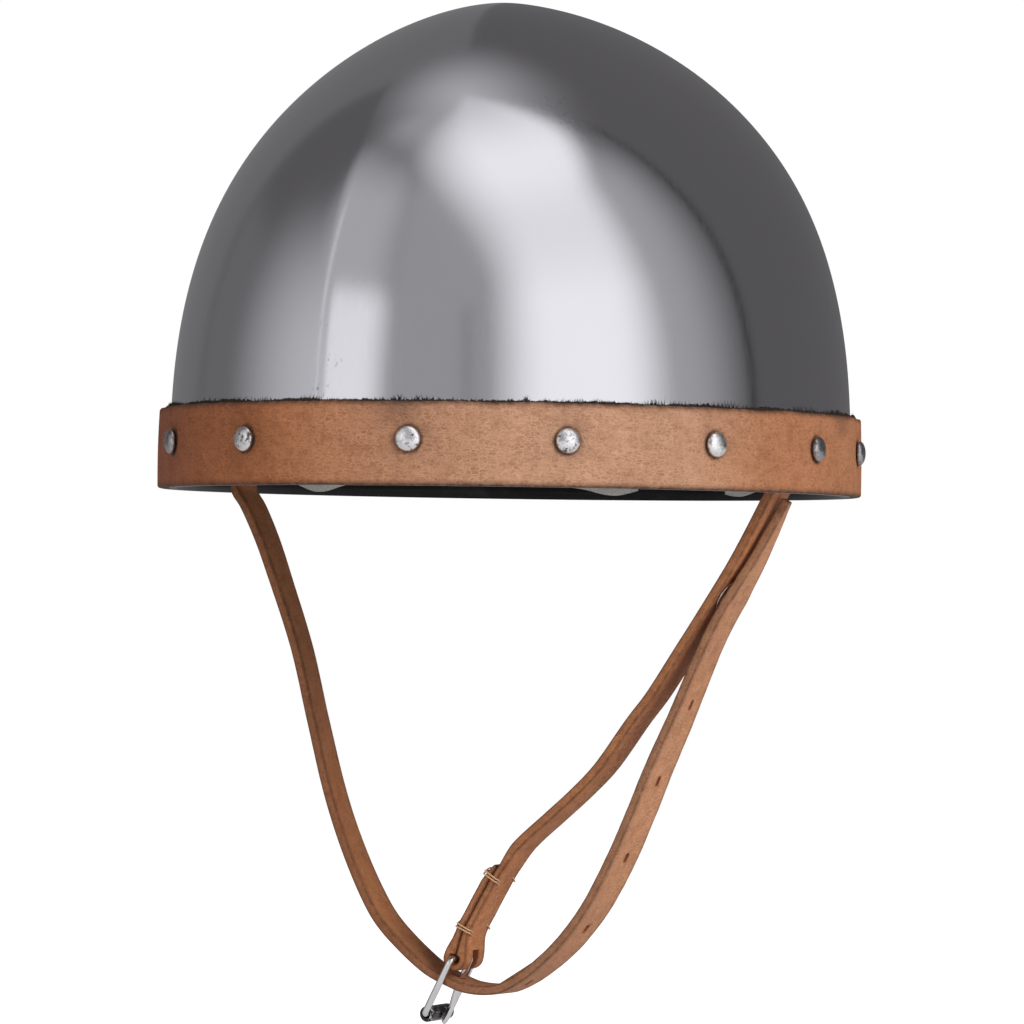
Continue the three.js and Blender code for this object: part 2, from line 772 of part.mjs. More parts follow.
function addStraps() {
	addPiece('long_strap', longStrap(), strapLeather);
	addPiece('buckle_strap', buckleStrap(), strapLeather);
	const { at, facing } = studFrame();
	const axis = facing.negate();
	const seat = strapThickness / 2 + gap;
	const depth = seat + washerThickness + gap;
	const stud = rivetGeometry(studHeadDiameter, studHeadHeight, seat, depth);
	setAlong(addPiece('strap_rivet', stud, rivetSteel), at, axis);
	const washerAt = at.clone().addScaledVector(axis, gap - depth);
	setAlong(addPiece('strap_washer', washerGeometry(), rivetSteel), washerAt, axis);
}

// Buckle, drawn hanging straight down from its bar and then leaned to where the strap holds it

const frameInside = frameHalfWidth - wireDiameter / 2;
const prongBend = (wireDiameter + prongDiameter) / 2 + gap;
const rollerSide = (rollerDiameter + prongDiameter) / 2 + gap;
const prongReach = frameReach + prongTipShare * rollerSide;

// How far out of the frame's plane the prong stands: bowed over the strap, then bent over the roller
function prongOut(down) {
	const beyond = Math.max(down - frameReach, 0);
	const bow = Math.min((down / (prongBowShare * frameReach)) ** prongBowPower, 1);
	return prongBend + (Math.sqrt(rollerSide ** 2 - beyond ** 2) - prongBend) * bow;
}

function frameOutline() {
	const corner = frameHalfWidth - frameCornerRadius;
	const low = frameCornerRadius - frameReach;
	const centres = [
		[corner, -frameCornerRadius], [-corner, -frameCornerRadius], [-corner, low], [corner, low],
	];
	const quarterTurn = Math.PI / 2;
	return centres.flatMap(([y, z], quarter) => (
		spread(quarter * quarterTurn, (quarter + 1) * quarterTurn, cornerSteps).map((angle) => (
			new THREE.Vector3(0, y + frameCornerRadius * Math.cos(angle), z + frameCornerRadius * Math.sin(angle))
		))
	));
}

function wireRings(points, flat, diameterAt, closed = false) {
	const last = points.length - 1;
	return points.map((at, index) => {
		const before = points[closed && index === 0 ? last : Math.max(index - 1, 0)];
		const after = points[closed && index === last ? 0 : Math.min(index + 1, last)];
		const along = after.clone().sub(before).normalize();
		const other = along.cross(flat);
		const radius = diameterAt(index / last) / 2;
		return spread(0, roundTheHead, wireSides).slice(0, -1).map((angle) => at.clone()
			.addScaledVector(flat, radius * Math.cos(angle))
			.addScaledVector(other, radius * Math.sin(angle)));
	});
}

function buckleFrame() {
	return loftLoop(wireRings(frameOutline(), new THREE.Vector3(1, 0, 0), () => wireDiameter, true));
}

function buckleRoller() {
	const half = frameInside - gap;
	const hole = wireDiameter / 2 + gap;
	const edge = rollerDiameter / 2;
	return revolved([[hole, -half], [edge, -half], [edge, half], [hole, half], [hole, -half]], rollerSides);
}

function buckleProng() {
	const wrapped = spread(roundTheHead * prongWrapShare, 0, prongWrapSteps).map((angle) => new THREE.Vector3(
		prongBend * Math.cos(angle),
		0,
		prongBend * Math.sin(angle),
	));
	const run = spread(0, prongReach, prongSteps).slice(1).map((down) => (
		new THREE.Vector3(prongOut(down), 0, -down)
	));
	const points = [...wrapped, ...run];
	const taperFrom = 1 - endSteps / points.length;
	return loft(wireRings(points, across, (share) => (
		prongDiameter * (1 - prongTipTaperShare * Math.max((share - taperFrom) / (1 - taperFrom), 0) ** 2)
	)));
}

function addBuckle() {
	const buckle = new THREE.Group();
	buckle.position.copy(barAt);
	buckle.rotation.y = lean;
	part.add(buckle);
	addPiece('buckle_frame', buckleFrame(), nickel, buckle);
	addPiece('buckle_prong', buckleProng(), nickel, buckle);
	addPiece('buckle_roller', buckleRoller(), blackSteel, buckle).position.z = -frameReach;
}

addPiece('skull_shell', skullShell(), steel);
addPiece('brow_band', browBand(), tanLeather);
addBandRivets();
addTongues();
addPiece('crown_lace', crownLace(), laceCord);
addStraps();
addBuckle();

export default part;
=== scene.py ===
import math
import random

import bmesh
import bpy
from mathutils import Matrix, Vector, noise


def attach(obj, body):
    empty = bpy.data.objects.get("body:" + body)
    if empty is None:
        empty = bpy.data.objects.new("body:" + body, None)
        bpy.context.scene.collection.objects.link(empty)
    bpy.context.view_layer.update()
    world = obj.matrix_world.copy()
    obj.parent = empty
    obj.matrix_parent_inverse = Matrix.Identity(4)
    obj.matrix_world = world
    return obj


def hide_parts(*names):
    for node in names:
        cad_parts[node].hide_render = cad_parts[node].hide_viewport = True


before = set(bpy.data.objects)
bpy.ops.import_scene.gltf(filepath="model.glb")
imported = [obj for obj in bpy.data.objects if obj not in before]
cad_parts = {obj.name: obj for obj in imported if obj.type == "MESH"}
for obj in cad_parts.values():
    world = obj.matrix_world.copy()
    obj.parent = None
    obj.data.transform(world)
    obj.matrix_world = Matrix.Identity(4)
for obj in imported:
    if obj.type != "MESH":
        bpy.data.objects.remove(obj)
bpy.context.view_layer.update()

# Camera. The helmet is seen a little from its left front, from just under the rim and with a long
# lens, so the band's ends curve up only slightly. It leans by less than a degree.
view_yaw = math.radians(27.3)
view_distance = 1.5
view_height = -0.0247
view_lean = math.radians(0.66)
towards_camera = Vector((math.sin(view_yaw), -math.cos(view_yaw), 0))
camera_right = Vector((math.cos(view_yaw), math.sin(view_yaw), 0))
camera = bpy.data.objects.new("camera", bpy.data.cameras.new("camera"))
bpy.context.scene.collection.objects.link(camera)
camera.data.sensor_width = 36
camera.data.lens = 177.6
camera.data.shift_y = 0.0630
camera.data.clip_start = 0.05
level_view = (-towards_camera).to_track_quat("-Z", "Y").to_matrix().to_4x4()
camera.matrix_world = (
    Matrix.Translation(towards_camera * view_distance + Vector((0, 0, view_height)))
    @ level_view
    @ Matrix.Rotation(view_lean, 4, "Z")
)
bpy.context.scene.camera = camera
bpy.context.scene.view_settings.view_transform = "Standard"

# Studio. A pale floor below the hanging helmet and, out of the camera's sight, a dark grey room
# whose wall carries the soft boxes that the polished steel mirrors. Two lamps light the leather.
floor_height = -0.25
room_radius = 3.4
floor_share = 0.99


def new_object(name, bm, smooth=True):
    mesh = bpy.data.meshes.new(name)
    for face in bm.faces:
        face.smooth = smooth
    bm.to_mesh(mesh)
    bm.free()
    made = bpy.data.objects.new(name, mesh)
    bpy.context.scene.collection.objects.link(made)
    return made


class Nodes:
    """Short words for laying out a material's nodes."""

    def __init__(self, name):
        self.material = bpy.data.materials.new(name)
        self.material.use_nodes = True
        self.tree = self.material.node_tree
        self.shader = self.tree.nodes["Principled BSDF"]
        self.output = self.tree.nodes["Material Output"]

    def add(self, kind, **settings):
        node = self.tree.nodes.new(kind)
        for key, value in settings.items():
            setattr(node, key, value)
        return node

    def feed(self, socket, value):
        """Links a node's output, or sets a number or an opaque colour of three shares."""
        if isinstance(value, bpy.types.NodeSocket):
            self.tree.links.new(value, socket)
        elif value is not None:
            socket.default_value = (*value, 1) if socket.type == "RGBA" else value

    def look(self, settings):
        for word, value in settings.items():
            self.feed(self.shader.inputs[word], value)

    def math(self, operation, first, second=None, third=None):
        node = self.add("ShaderNodeMath", operation=operation)
        for socket, given in zip(node.inputs, (first, second, third)):
            self.feed(socket, given)
        return node.outputs[0]

    def times(self, first, second):
        return self.math("MULTIPLY", first, second)

    def ramp(self, value, low, high, out_low=0.0, out_high=1.0, kind="SMOOTHSTEP"):
        node = self.add("ShaderNodeMapRange", interpolation_type=kind)
        for socket, given in zip(node.inputs, (value, low, high, out_low, out_high)):
            self.feed(socket, given)
        return node.outputs[0]

    def mix(self, share, first, second, blend="MIX"):
        node = self.add("ShaderNodeMix", data_type="RGBA", blend_type=blend)
        for socket, given in ((0, share), (6, first), (7, second)):
            self.feed(node.inputs[socket], given)
        return node.outputs[2]

    def place(self, scale=(1, 1, 1)):
        where = self.add("ShaderNodeTexCoord").outputs["Object"]
        mapping = self.add("ShaderNodeMapping")
        self.feed(mapping.inputs["Vector"], where)
        mapping.inputs["Scale"].default_value = scale
        return mapping.outputs[0]

    def noise(self, scale, detail=2.0, rough=0.5, where=None):
        node = self.add("ShaderNodeTexNoise")
        self.feed(node.inputs["Vector"], where or self.place())
        node.inputs["Scale"].default_value = scale
        node.inputs["Detail"].default_value = detail
        node.inputs["Roughness"].default_value = rough
        return node.outputs[0]

    def cells(self, scale, where=None):
        """How far a point is from the border of its cell in a random pattern."""
        node = self.add("ShaderNodeTexVoronoi", feature="DISTANCE_TO_EDGE")
        self.feed(node.inputs["Vector"], where or self.place())
        node.inputs["Scale"].default_value = scale
        return node.outputs["Distance"]

    def mark(self, name):
        return self.add("ShaderNodeAttribute", attribute_name=name).outputs["Fac"]

    def bump(self, height, depth, strength=1.0, under=None):
        node = self.add("ShaderNodeBump")
        node.inputs["Strength"].default_value = strength
        node.inputs["Distance"].default_value = depth
        self.feed(node.inputs["Height"], height)
        self.feed(node.inputs["Normal"], under)
        return node.outputs[0]


def finished(made, body, material, slot, *nodes):
    """Gives a piece its material, the body it rides on and the CAD nodes it replaces; its slot argument is
    not used.
    """
    made.data.materials.clear()
    made.data.materials.append(material)
    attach(made, body)
    if nodes:
        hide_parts(*nodes)


def floor_material():
    """A matt floor that the camera sees a little brighter than it is lit."""
    floor = Nodes("pale_floor")
    floor.look({"Base Color": (0.82, 0.82, 0.82), "Roughness": 0.9, "Specular IOR Level": 0})
    matt = floor.shader.outputs[0]
    glow = floor.add("ShaderNodeEmission")
    glow.inputs["Strength"].default_value = 0.84
    both = floor.add("ShaderNodeAddShader")
    floor.feed(both.inputs[0], matt)
    floor.feed(both.inputs[1], glow.outputs[0])
    seen = floor.add("ShaderNodeMixShader")
    floor.feed(seen.inputs[0], floor.add("ShaderNodeLightPath").outputs["Is Camera Ray"])
    floor.feed(seen.inputs[1], matt)
    floor.feed(seen.inputs[2], both.outputs[0])
    floor.feed(floor.output.inputs[0], seen.outputs[0])
    return floor.material


bm = bmesh.new()
bmesh.ops.create_circle(bm, cap_ends=True, segments=96, radius=room_radius * floor_share)
bmesh.ops.translate(bm, verts=bm.verts, vec=(0, 0, floor_height))
floor = new_object("floor", bm, smooth=False)
floor.data.materials.append(floor_material())

# Soft boxes by bearing from the camera's side and height, both in degrees: left side and its soft
# edge, right side and its edge, low side and its edge, top and its edge, and how bright it is
soft_boxes = [
    (-190, 20, -127, 16, -14, 6, 90, 20, 0.20),
    (-132, 16, -88, 50, -14, 6, 30, 14, 0.19),
    (30, 30, 92, 36, -14, 6, 62, 30, 0.50),
    (-34, 30, 20, 30, -14, 6, 62, 24, 0.44),
    (-55, 14, -25, 20, -14, 6, 28, 12, 1.15),
    (-98, 70, -30, 24, -14, 6, 34, 48, 0.72),
    (-78, 34, -20, 40, -14, 6, 61, 30, 0.58),
    (-64.5, 3, -59.5, 3, -14, 6, 50, 24, 0.90),
    (-84, 60, -10, 40, 62, 24, 110, 10, 0.46),
]
room_glow = 0.138
ceiling_glow = 0.64
# Dark joints on the wall below a height: bearing, half width, soft edge, top and light left over
room_seams = [(99, 1.2, 1.2, 58, 0.1), (4, 2.2, 2.5, 22, 0.8)]
seam_fade = 4
light_blend = 0.12


def room_material():
    """The wall's glow by bearing from the camera's side and by rise over level, in degrees."""
    room = Nodes("dark_room")
    where = room.add("ShaderNodeSeparateXYZ")
    room.feed(where.inputs[0], room.add("ShaderNodeTexCoord").outputs["Object"])
    east, north, high = where.outputs

    def towards(way):
        return room.math("ADD", room.times(east, way.x), room.times(north, way.y))

    def in_degrees(angle):
        return room.times(angle, math.degrees(1))

    bearing = in_degrees(room.math("ARCTAN2", towards(camera_right), towards(towards_camera)))
    rise = in_degrees(room.math("ARCSINE", room.math("DIVIDE", high, room_radius)))

    def side_of(value, place, edge):
        past = room.math("DIVIDE", room.math("SUBTRACT", value, place), edge)
        return room.ramp(past, -0.5, 0.5)

    def between(value, low, low_edge, high, high_edge):
        beyond = room.math("SUBTRACT", 1, side_of(value, high, high_edge))
        return room.times(side_of(value, low, low_edge), beyond)

    # The large light to the right of the camera: a column that widens where it bends over the top
    column = between(
        bearing, room.ramp(rise, 25, 82, 15, -32), room.ramp(rise, 25, 72, 34, 90),
        room.ramp(rise, 48, 68, 68, 85), 30,
    )
    low_part = room.math("ADD", room.ramp(rise, 14, 40, 1.43, 1.16), room.ramp(rise, 42, 60, 0, 0.17))
    strength = room.math("MINIMUM", low_part, room.ramp(rise, 62, 92, 1.33, 0.78))
    light = room.ramp(rise, 59, 94, room_glow, ceiling_glow)
    light = room.math("SMOOTH_MAX", light, room.times(column, strength), light_blend)
    for left, left_edge, right, right_edge, low, low_edge, top, top_edge, strength in soft_boxes:
        wide = between(bearing, left, left_edge, right, right_edge)
        tall = between(rise, low, low_edge, top, top_edge)
        box = room.ramp(room.times(wide, tall), 0, 1, 0, strength, "LINEAR")
        light = room.math("SMOOTH_MAX", light, box, light_blend)
    for seam, half, edge, top, left_over in room_seams:
        dark = between(bearing, seam - half, edge, seam + half, edge)
        dark = room.times(dark, room.ramp(rise, top, top + seam_fade, 1.0, 0.0))
        light = room.times(light, room.ramp(dark, 0, 1, 1.0, left_over))
    tint = room.mix(room.ramp(light, 0.1, 0.4), (1.0, 0.97, 1.0), (0.985, 0.98, 1.02))
    glow = room.add("ShaderNodeEmission")
    room.feed(glow.inputs["Color"], tint)
    room.feed(glow.inputs["Strength"], light)
    room.feed(room.output.inputs[0], glow.outputs[0])
    return room.material


bm = bmesh.new()
bmesh.ops.create_uvsphere(bm, u_segments=96, v_segments=48, radius=room_radius)
bmesh.ops.bisect_plane(
    bm, geom=bm.verts[:] + bm.edges[:] + bm.faces[:], plane_co=(0, 0, floor_height),
    plane_no=(0, 0, 1), clear_inner=True,
)
bmesh.ops.reverse_faces(bm, faces=bm.faces)
room = new_object("room", bm)
room.data.materials.append(room_material())
room.visible_camera = False


def white_world():
    world = bpy.data.worlds.new("white_world")
    bpy.context.scene.world = world
    world.use_nodes = True
    world.node_tree.nodes["Background"].inputs["Color"].default_value = (1, 1, 1, 1)
    world.node_tree.nodes["Background"].inputs["Strength"].default_value = 1.0


white_world()


def soft_lamp(name, bearing, rise, away, size, power):
    lamp = bpy.data.lights.new(name, "AREA")
    lamp.shape = "DISK"
    lamp.size = size
    lamp.energy = power
    held = bpy.data.objects.new(name, lamp)
    bpy.context.scene.collection.objects.link(held)
    turn, up = math.radians(bearing), math.radians(rise)
    level = towards_camera * math.cos(turn) + camera_right * math.sin(turn)
    held.location = (level * math.cos(up) + Vector((0, 0, math.sin(up)))) * away
    held.rotation_euler = (-held.location).to_track_quat("-Z", "Y").to_euler()
    held.visible_glossy = False


soft_lamp("key_lamp", bearing=48, rise=28, away=2.4, size=1.2, power=34)
soft_lamp("fill_lamp", bearing=-30, rise=8, away=2.4, size=1.4, power=8)

# Skull. One sheet of 2 mm steel pressed and hammered over a stake, leaving a soft keel from the
# brow over the crown to the nape, then ground and polished bright.
skull_half_width = 0.097
skull_half_length = 0.1175
skull_height = 0.1453
steel_thickness = 0.002
apex_set_back = 0.0057
keel_share = 0.048
side_curve = (2.86, 1.53)
profile_curve = (2.76, 2.15)
ripple_pattern = 26
ripple_depth = 0.00010
skull_columns = 288
skull_rows = 110


def kept_share(rise, curve):
    """The share of a half size that is left at a share of the height: its bulge and its fullness."""
    bulge, fullness = curve
    return max(1 - rise**bulge, 0) ** (1 / fullness)


def wall_point(turn, height, inset=0.0):
    """The skull's outer face at a turn from the brow and a height, or a face inside it."""
    rise = min(max(height, 0) / (skull_height - inset), 1)
    half_width = (skull_half_width - inset) * kept_share(rise, side_curve)
    half_length = (skull_half_length - inset) * kept_share(rise, profile_curve)
    ahead = math.cos(turn)
    keel = keel_share * half_width * (1 - abs(math.sin(turn))) * math.copysign(1, ahead)
    oval = (half_length - keel_share * half_width) * ahead
    return Vector((half_width * math.sin(turn), apex_set_back * rise**2 - oval - keel, height))


def wall_normal(turn, height, inset=0.0):
    """The level way out of the wall."""
    step = 0.001
    along = wall_point(turn + step, height, inset) - wall_point(turn - step, height, inset)
    return along.cross(Vector((0, 0, 1))).normalized()


def laid_grid(rows, columns, place, marks=None, cap=False):
    """A grid of rows by columns whose corners are moved to place(row, column), doubles merged."""
    bm = bmesh.new()
    layers = {name: bm.verts.layers.float.new(name) for name in marks or {}}
    bmesh.ops.create_grid(bm, x_segments=rows, y_segments=columns, size=0.5)
    for corner in bm.verts:
        row = round((corner.co.x + 0.5) * rows)
        column = round((corner.co.y + 0.5) * columns)
        corner.co = place(row, column)
        for name, layer in layers.items():
            corner[layer] = marks[name](row, column)
    bmesh.ops.remove_doubles(bm, verts=bm.verts, dist=1e-6)
    if cap:
        bmesh.ops.holes_fill(bm, edges=[edge for edge in bm.edges if edge.is_boundary], sides=0)
    bmesh.ops.recalc_face_normals(bm, faces=bm.faces)
    return bm


def skull_place(row, column):
    """A point of the skull with the slight ripple of handwork, which dies out at the apex."""
    turn = 2 * math.pi * column / skull_columns
    from_apex = 1 - row / skull_rows
    height = skull_height * (1 - from_apex**2)
    point = wall_point(turn, height)
    ripple = noise.noise(point * ripple_pattern) * ripple_depth * min(1, 8 * from_apex)
    return point + ripple * wall_normal(turn, min(height, skull_height * 0.96))


def steel_material():
    steel = Nodes("polished_steel")
    cloud = steel.noise(9, 4)
    fine = steel.noise(900, 3, 0.6, steel.place((1, 1, 0.12)))
    scratch = steel.ramp(steel.noise(900, 4, 0.75, steel.place((1.0, 1.0, 0.35))), 0.56, 0.66)
    scratch = steel.times(scratch, steel.mark("scuffed"))
    tone = steel.mix(cloud, (0.57, 0.57, 0.59), (0.64, 0.635, 0.65))
    grain = steel.ramp(fine, 0.3, 0.7, 0.11, 0.16, "LINEAR")
    steel.look({
        "Metallic": 1.0,
        "Base Color": steel.mix(scratch, tone, (0.2, 0.2, 0.21)),
        "Roughness": steel.math("ADD", grain, steel.times(scratch, 0.25)),
        "Normal": steel.bump(fine, 0.00001, 0.35),
    })
    return steel.material


def black_lacquer_material():
    lacquer = Nodes("black_lacquer")
    dust = lacquer.ramp(lacquer.noise(160, 4, 0.6), 0.5, 0.8)
    lacquer.look({
        "Base Color": lacquer.mix(dust, (0.005, 0.005, 0.006), (0.018, 0.017, 0.017)),
        "Roughness": 0.3, "Specular IOR Level": 0.16,
    })
    return lacquer.material


# Where the polish is scuffed: turn in degrees, height and reach
scuffs = [
    (41.5, 0.1086, 0.0045), (43.5, 0.104, 0.003), (2.3, 0.0353, 0.002), (-0.3, 0.043, 0.002),
    (-0.2, 0.0268, 0.003),
]
scuff_spots = [(wall_point(math.radians(turn), height), reach) for turn, height, reach in scuffs]


def near_spot(point, spot, reach):
    """A mark that is 1 at the spot and fades within the reach."""
    return math.exp(-(((point - spot).length / reach) ** 2))


def skull_scuff(row, column):
    point = skull_place(row, column)
    return max(near_spot(point, spot, reach) for spot, reach in scuff_spots)


bm = laid_grid(skull_rows, skull_columns, skull_place, {"scuffed": skull_scuff})
skull = new_object("polished_skull", bm)
thickness = skull.modifiers.new("thickness", "SOLIDIFY")
thickness.thickness = steel_thickness
thickness.offset = -1
thickness.material_offset = 1
thickness.material_offset_rim = 1
finished(skull, "helmet", steel_material(), "shell_steel", "skull_shell")
skull.data.materials.append(black_lacquer_material())

# Brow band. One strip of 3 mm tan cowhide wrapped round the rim with its ends butted at the back,
# flush with the steel below. The leather is drawn in a little under every rivet.
clearance = 0.0003
band_height = 0.0232
band_thickness = 0.003
band_round = 0.0008
band_ends_gap = 0.0008
band_rows = 1200
dimple_depth, dimple_reach = 0.00055, 0.0052
band_wave = 0.00022
band_lift, band_nick = 0.0004, 0.00012
rivet_height = 0.0128
rivet_head = 0.0071
# Read off the picture, in fourteenths of the way round from the brow; the hidden ones are alike
rivet_places = [13.5, 0.55, 1.45, 2.43, 3.42, 4.3, 5.3, 6.4, 7.5, 8.55, 9.6, 10.58, 11.5, 12.6]
turn_steps = 2000


def turns_at(places):
    """The turns at which the places lie, measured along the wall."""
    turns = [2 * math.pi * step / turn_steps for step in range(turn_steps + 1)]
    points = [wall_point(turn, rivet_height) for turn in turns]
    lengths = [0.0]
    for before, after in zip(points, points[1:]):
        lengths.append(lengths[-1] + (after - before).length)
    found = []
    for place in places:
        wanted = place / len(places) * lengths[-1]
        step = next(i for i, length in enumerate(lengths) if length >= wanted)
        part = (wanted - lengths[step - 1]) / (lengths[step] - lengths[step - 1])
        found.append(turns[step - 1] + part * (turns[1] - turns[0]))
    return found


rivet_turns = turns_at(rivet_places)
rivet_feet = [wall_point(turn, rivet_height) for turn in rivet_turns]
ear_rivets = (4, 11)
rivet_axes = [
    Vector((math.copysign(1, foot.x), 0, 0)) if index in ear_rivets else wall_normal(turn, rivet_height)
    for index, (turn, foot) in enumerate(zip(rivet_turns, rivet_feet))
]


def strip_outline(low, high, inside, outside, round_edge, across=14, arc=4):
    """A strip's section with rounded corners, from its low inner corner round the outside."""
    low_side, high_side = low + round_edge, high - round_edge
    top, bottom = outside - round_edge, inside + round_edge
    corners = (
        (low_side, bottom, 1.5), (low_side, top, 1.0), (high_side, top, 0.5), (high_side, bottom, 0.0),
    )
    outline = []
    for x, y, start in corners:
        for step in range(arc + 1):
            angle = math.pi * (start - 0.5 * step / arc)
            outline.append((x + round_edge * math.cos(angle), y + round_edge * math.sin(angle)))
        if start in (1.0, 0.0):
            end = (high_side, outside) if start == 1.0 else (low_side, inside)
            begin = outline[-1]
            for step in range(1, across):
                share = step / across
                flat = (at + (to - at) * share for at, to in zip(begin, end))
                outline.append(tuple(flat))
    return outline


rivet_seats = [foot + axis * (clearance + band_thickness) for foot, axis in zip(rivet_feet, rivet_axes)]


def from_rivet(point):
    return min((point - seat).length for seat in rivet_seats)


def near_rivet(point, reach):
    return math.exp(-((from_rivet(point) / reach) ** 2))


band_outline = strip_outline(0, band_height, clearance, clearance + band_thickness, band_round, across=26)


def band_turn(row):
    half_gap = band_ends_gap / 2 / skull_half_width
    return -math.pi + half_gap + (2 * math.pi - 2 * half_gap) * row / band_rows


def band_place(row, column):
    """A point of the band: dimpled at the rivets, a little wavy, its upper edge cut by hand."""
    turn = band_turn(row)
    height, out = band_outline[column % len(band_outline)]
    point = wall_point(turn, height, -out)
    outer = max(0, (out - clearance) / band_thickness)
    dimple = near_rivet(point, dimple_reach) * dimple_depth * outer
    wave = noise.noise(point * 45) * band_wave * outer
    lift = noise.noise(Vector((turn * 9, 0, 3))) * band_lift
    lift += noise.noise(Vector((turn * 60, 0, 9))) * band_nick
    point += wall_normal(turn, height) * (wave - dimple)
    point.z = max(0, point.z + lift * height / band_height)
    return point


def smooth_share(value, low, high):
    share = min(max((value - low) / (high - low), 0), 1)
    return share * share * (3 - 2 * share)


# Wear and painted shadow on the band: how wide its edges are rubbed dark, how wide the painted shadow round
# each rivet head is, and two smudges
edge_wear = 0.0010
rivet_shadow_width = 0.0007
dirt_reach = 0.007
smudges = [wall_point(math.radians(turn), band_height, -band_thickness) for turn in (14, 98)]


def band_edge(row, column):
    height, out = band_outline[column % len(band_outline)]
    side = min(height, band_height - height)
    return math.exp(-((side / edge_wear) ** 2))


def band_stain_and_shadow(row, column):
    height, out = band_outline[column % len(band_outline)]
    point = wall_point(band_turn(row), height, -out)
    # A painted shadow round each rivet head, where its domed edge meets the leather
    rivet_shadow = math.exp(-(((from_rivet(point) - rivet_head / 2) / rivet_shadow_width) ** 2))
    smudge = max(near_spot(point, spot, dirt_reach) for spot in smudges)
    turn = math.degrees(band_turn(row))
    worn = smooth_share(turn, 52, 72) * (1 - smooth_share(turn, 110, 165))
    return max(rivet_shadow, 0.5 * smudge, 0.25 * near_rivet(point, dirt_reach), 0.12 * worn)


def band_fade_and_light(row, column):
    """Paler on the wearer's left and red brown on the right and behind: partly real fading, partly painted
    light, as the left faces the key lamp and the right lies in shade.
    """
    turn = math.degrees(band_turn(row))
    faded_and_lit = smooth_share(turn, -52, 36) * (1 - smooth_share(turn, 100, 160))
    return faded_and_lit * (1 - 0.4 * smooth_share(turn, 55, 80))


def leather_material(name, faded_and_lit, middle, fresh_and_shaded, edge_tone, grain=1.0, lay=1.0):
    """Three tones along the piece's tone mark, which is partly painted light, with pores, fine creases,
    stains, a painted shadow round rivet heads and worn edges.
    """
    leather = Nodes(name)
    fade_and_light = leather.mark("fade_and_light")
    # The pale tone is partly painted light and the darkest tone partly painted shade
    tone = leather.mix(leather.ramp(fade_and_light, 0, 0.55, kind="LINEAR"), fresh_and_shaded, middle)
    tone = leather.mix(leather.ramp(fade_and_light, 0.45, 1, kind="LINEAR"), tone, faded_and_lit)
    dark = leather.mix(1.0, tone, (0.52, 0.42, 0.36), "MULTIPLY")
    pale = leather.mix(1.0, tone, (1.32, 1.42, 1.5), "MULTIPLY")
    cloud = leather.ramp(leather.noise(22, 5, 0.65), 0.3, 0.72)
    patch = leather.ramp(leather.noise(110, 5, 0.7), 0.35, 0.75)
    mottle = leather.ramp(leather.noise(400, 5, 0.75), 0.44, 0.62)
    streak = leather.ramp(leather.noise(230, 5, 0.75, leather.place((1, 1, lay))), 0.42, 0.62)
    pores = leather.ramp(leather.cells(1700), 0.0, 0.14, 1.0, 0.0)
    pores = leather.times(pores, leather.ramp(leather.noise(48, 3), 0.3, 0.65, 0.15, 1.0))
    wrinkle = leather.ramp(leather.cells(520, leather.place((1.0, 1.0, 2.1))), 0.0, 0.17, 1.0, 0.0)
    wrinkle = leather.times(wrinkle, leather.ramp(leather.noise(170, 4, 0.7), 0.36, 0.6, 0.1, 1.0))
    fibre = leather.noise(2400, 5, 0.7)
    for share, over in (
        (leather.times(patch, 0.30), dark), (leather.times(cloud, 0.25), pale),
        (leather.times(mottle, 0.5 * grain), dark), (leather.times(streak, 0.42 * grain), pale),
        (leather.times(pores, 0.42 * grain), dark), (leather.times(wrinkle, 0.72 * grain), pale),
        (leather.ramp(fibre, 0.35, 0.7, 0.0, 0.28), dark),
    ):
        tone = leather.mix(share, tone, over)
    edge = leather.ramp(leather.noise(420, 4, 0.7), 0.3, 0.62, 0.6, 1.0)
    tone = leather.mix(leather.times(leather.mark("edge"), edge), tone, edge_tone)
    # This mark darkens real stains and dirt, and on the band it also paints the shadow round each rivet head
    stain_and_shadow = leather.ramp(leather.noise(240, 4), 0.2, 0.6, 0.6, 1.0)
    tone = leather.mix(leather.times(leather.mark("stain_and_shadow"), stain_and_shadow), tone, (0.035, 0.026, 0.022))
    height = leather.math("SUBTRACT", leather.times(wrinkle, 0.8), pores)
    height = leather.math("SUBTRACT", height, leather.times(mottle, 0.9))
    deep = leather.bump(height, 0.00016, 0.6 * grain)
    leather.look({
        "Base Color": tone,
        "Roughness": leather.ramp(cloud, 0, 1, 0.66, 0.54, "LINEAR"),
        "Specular IOR Level": 0.2,
        "Normal": leather.bump(fibre, 0.00006, 0.5, deep),
    })
    return leather.material


band_marks = {"edge": band_edge, "stain_and_shadow": band_stain_and_shadow, "fade_and_light": band_fade_and_light}
bm = laid_grid(band_rows, len(band_outline), band_place, band_marks, cap=True)
tan_leather = leather_material(
    "tan_leather", faded_and_lit=(0.43, 0.23, 0.135), middle=(0.41, 0.15, 0.057), fresh_and_shaded=(0.255, 0.08, 0.034),
    edge_tone=(0.07, 0.03, 0.017), lay=6.0,
)
band = new_object("leather_brow_band", bm)
finished(band, "helmet", tan_leather, "band_leather", "brow_band")

# Frayed upper edge. The band is cut from hide whose dark flesh side was left raw, so a torn lip of
# fibres stands up between it and the steel all round.
lip_rows = 2400
lip_depth = 0.0012
lip_face, lip_tip, lip_middle, lip_back = 0.0001, 0.00012, 0.0009, 0.0018
lip_least, lip_usual, lip_torn = 0.0002, 0.0004, 0.0012
fibre_count = 1500
fibre_root, fibre_stray = 0.0003, 0.0003
fibre_tall, fibre_clump = (0.0006, 0.0011), 0.0017
fibre_half = (0.00010, 0.00026)
lip_dice = random.Random(23)


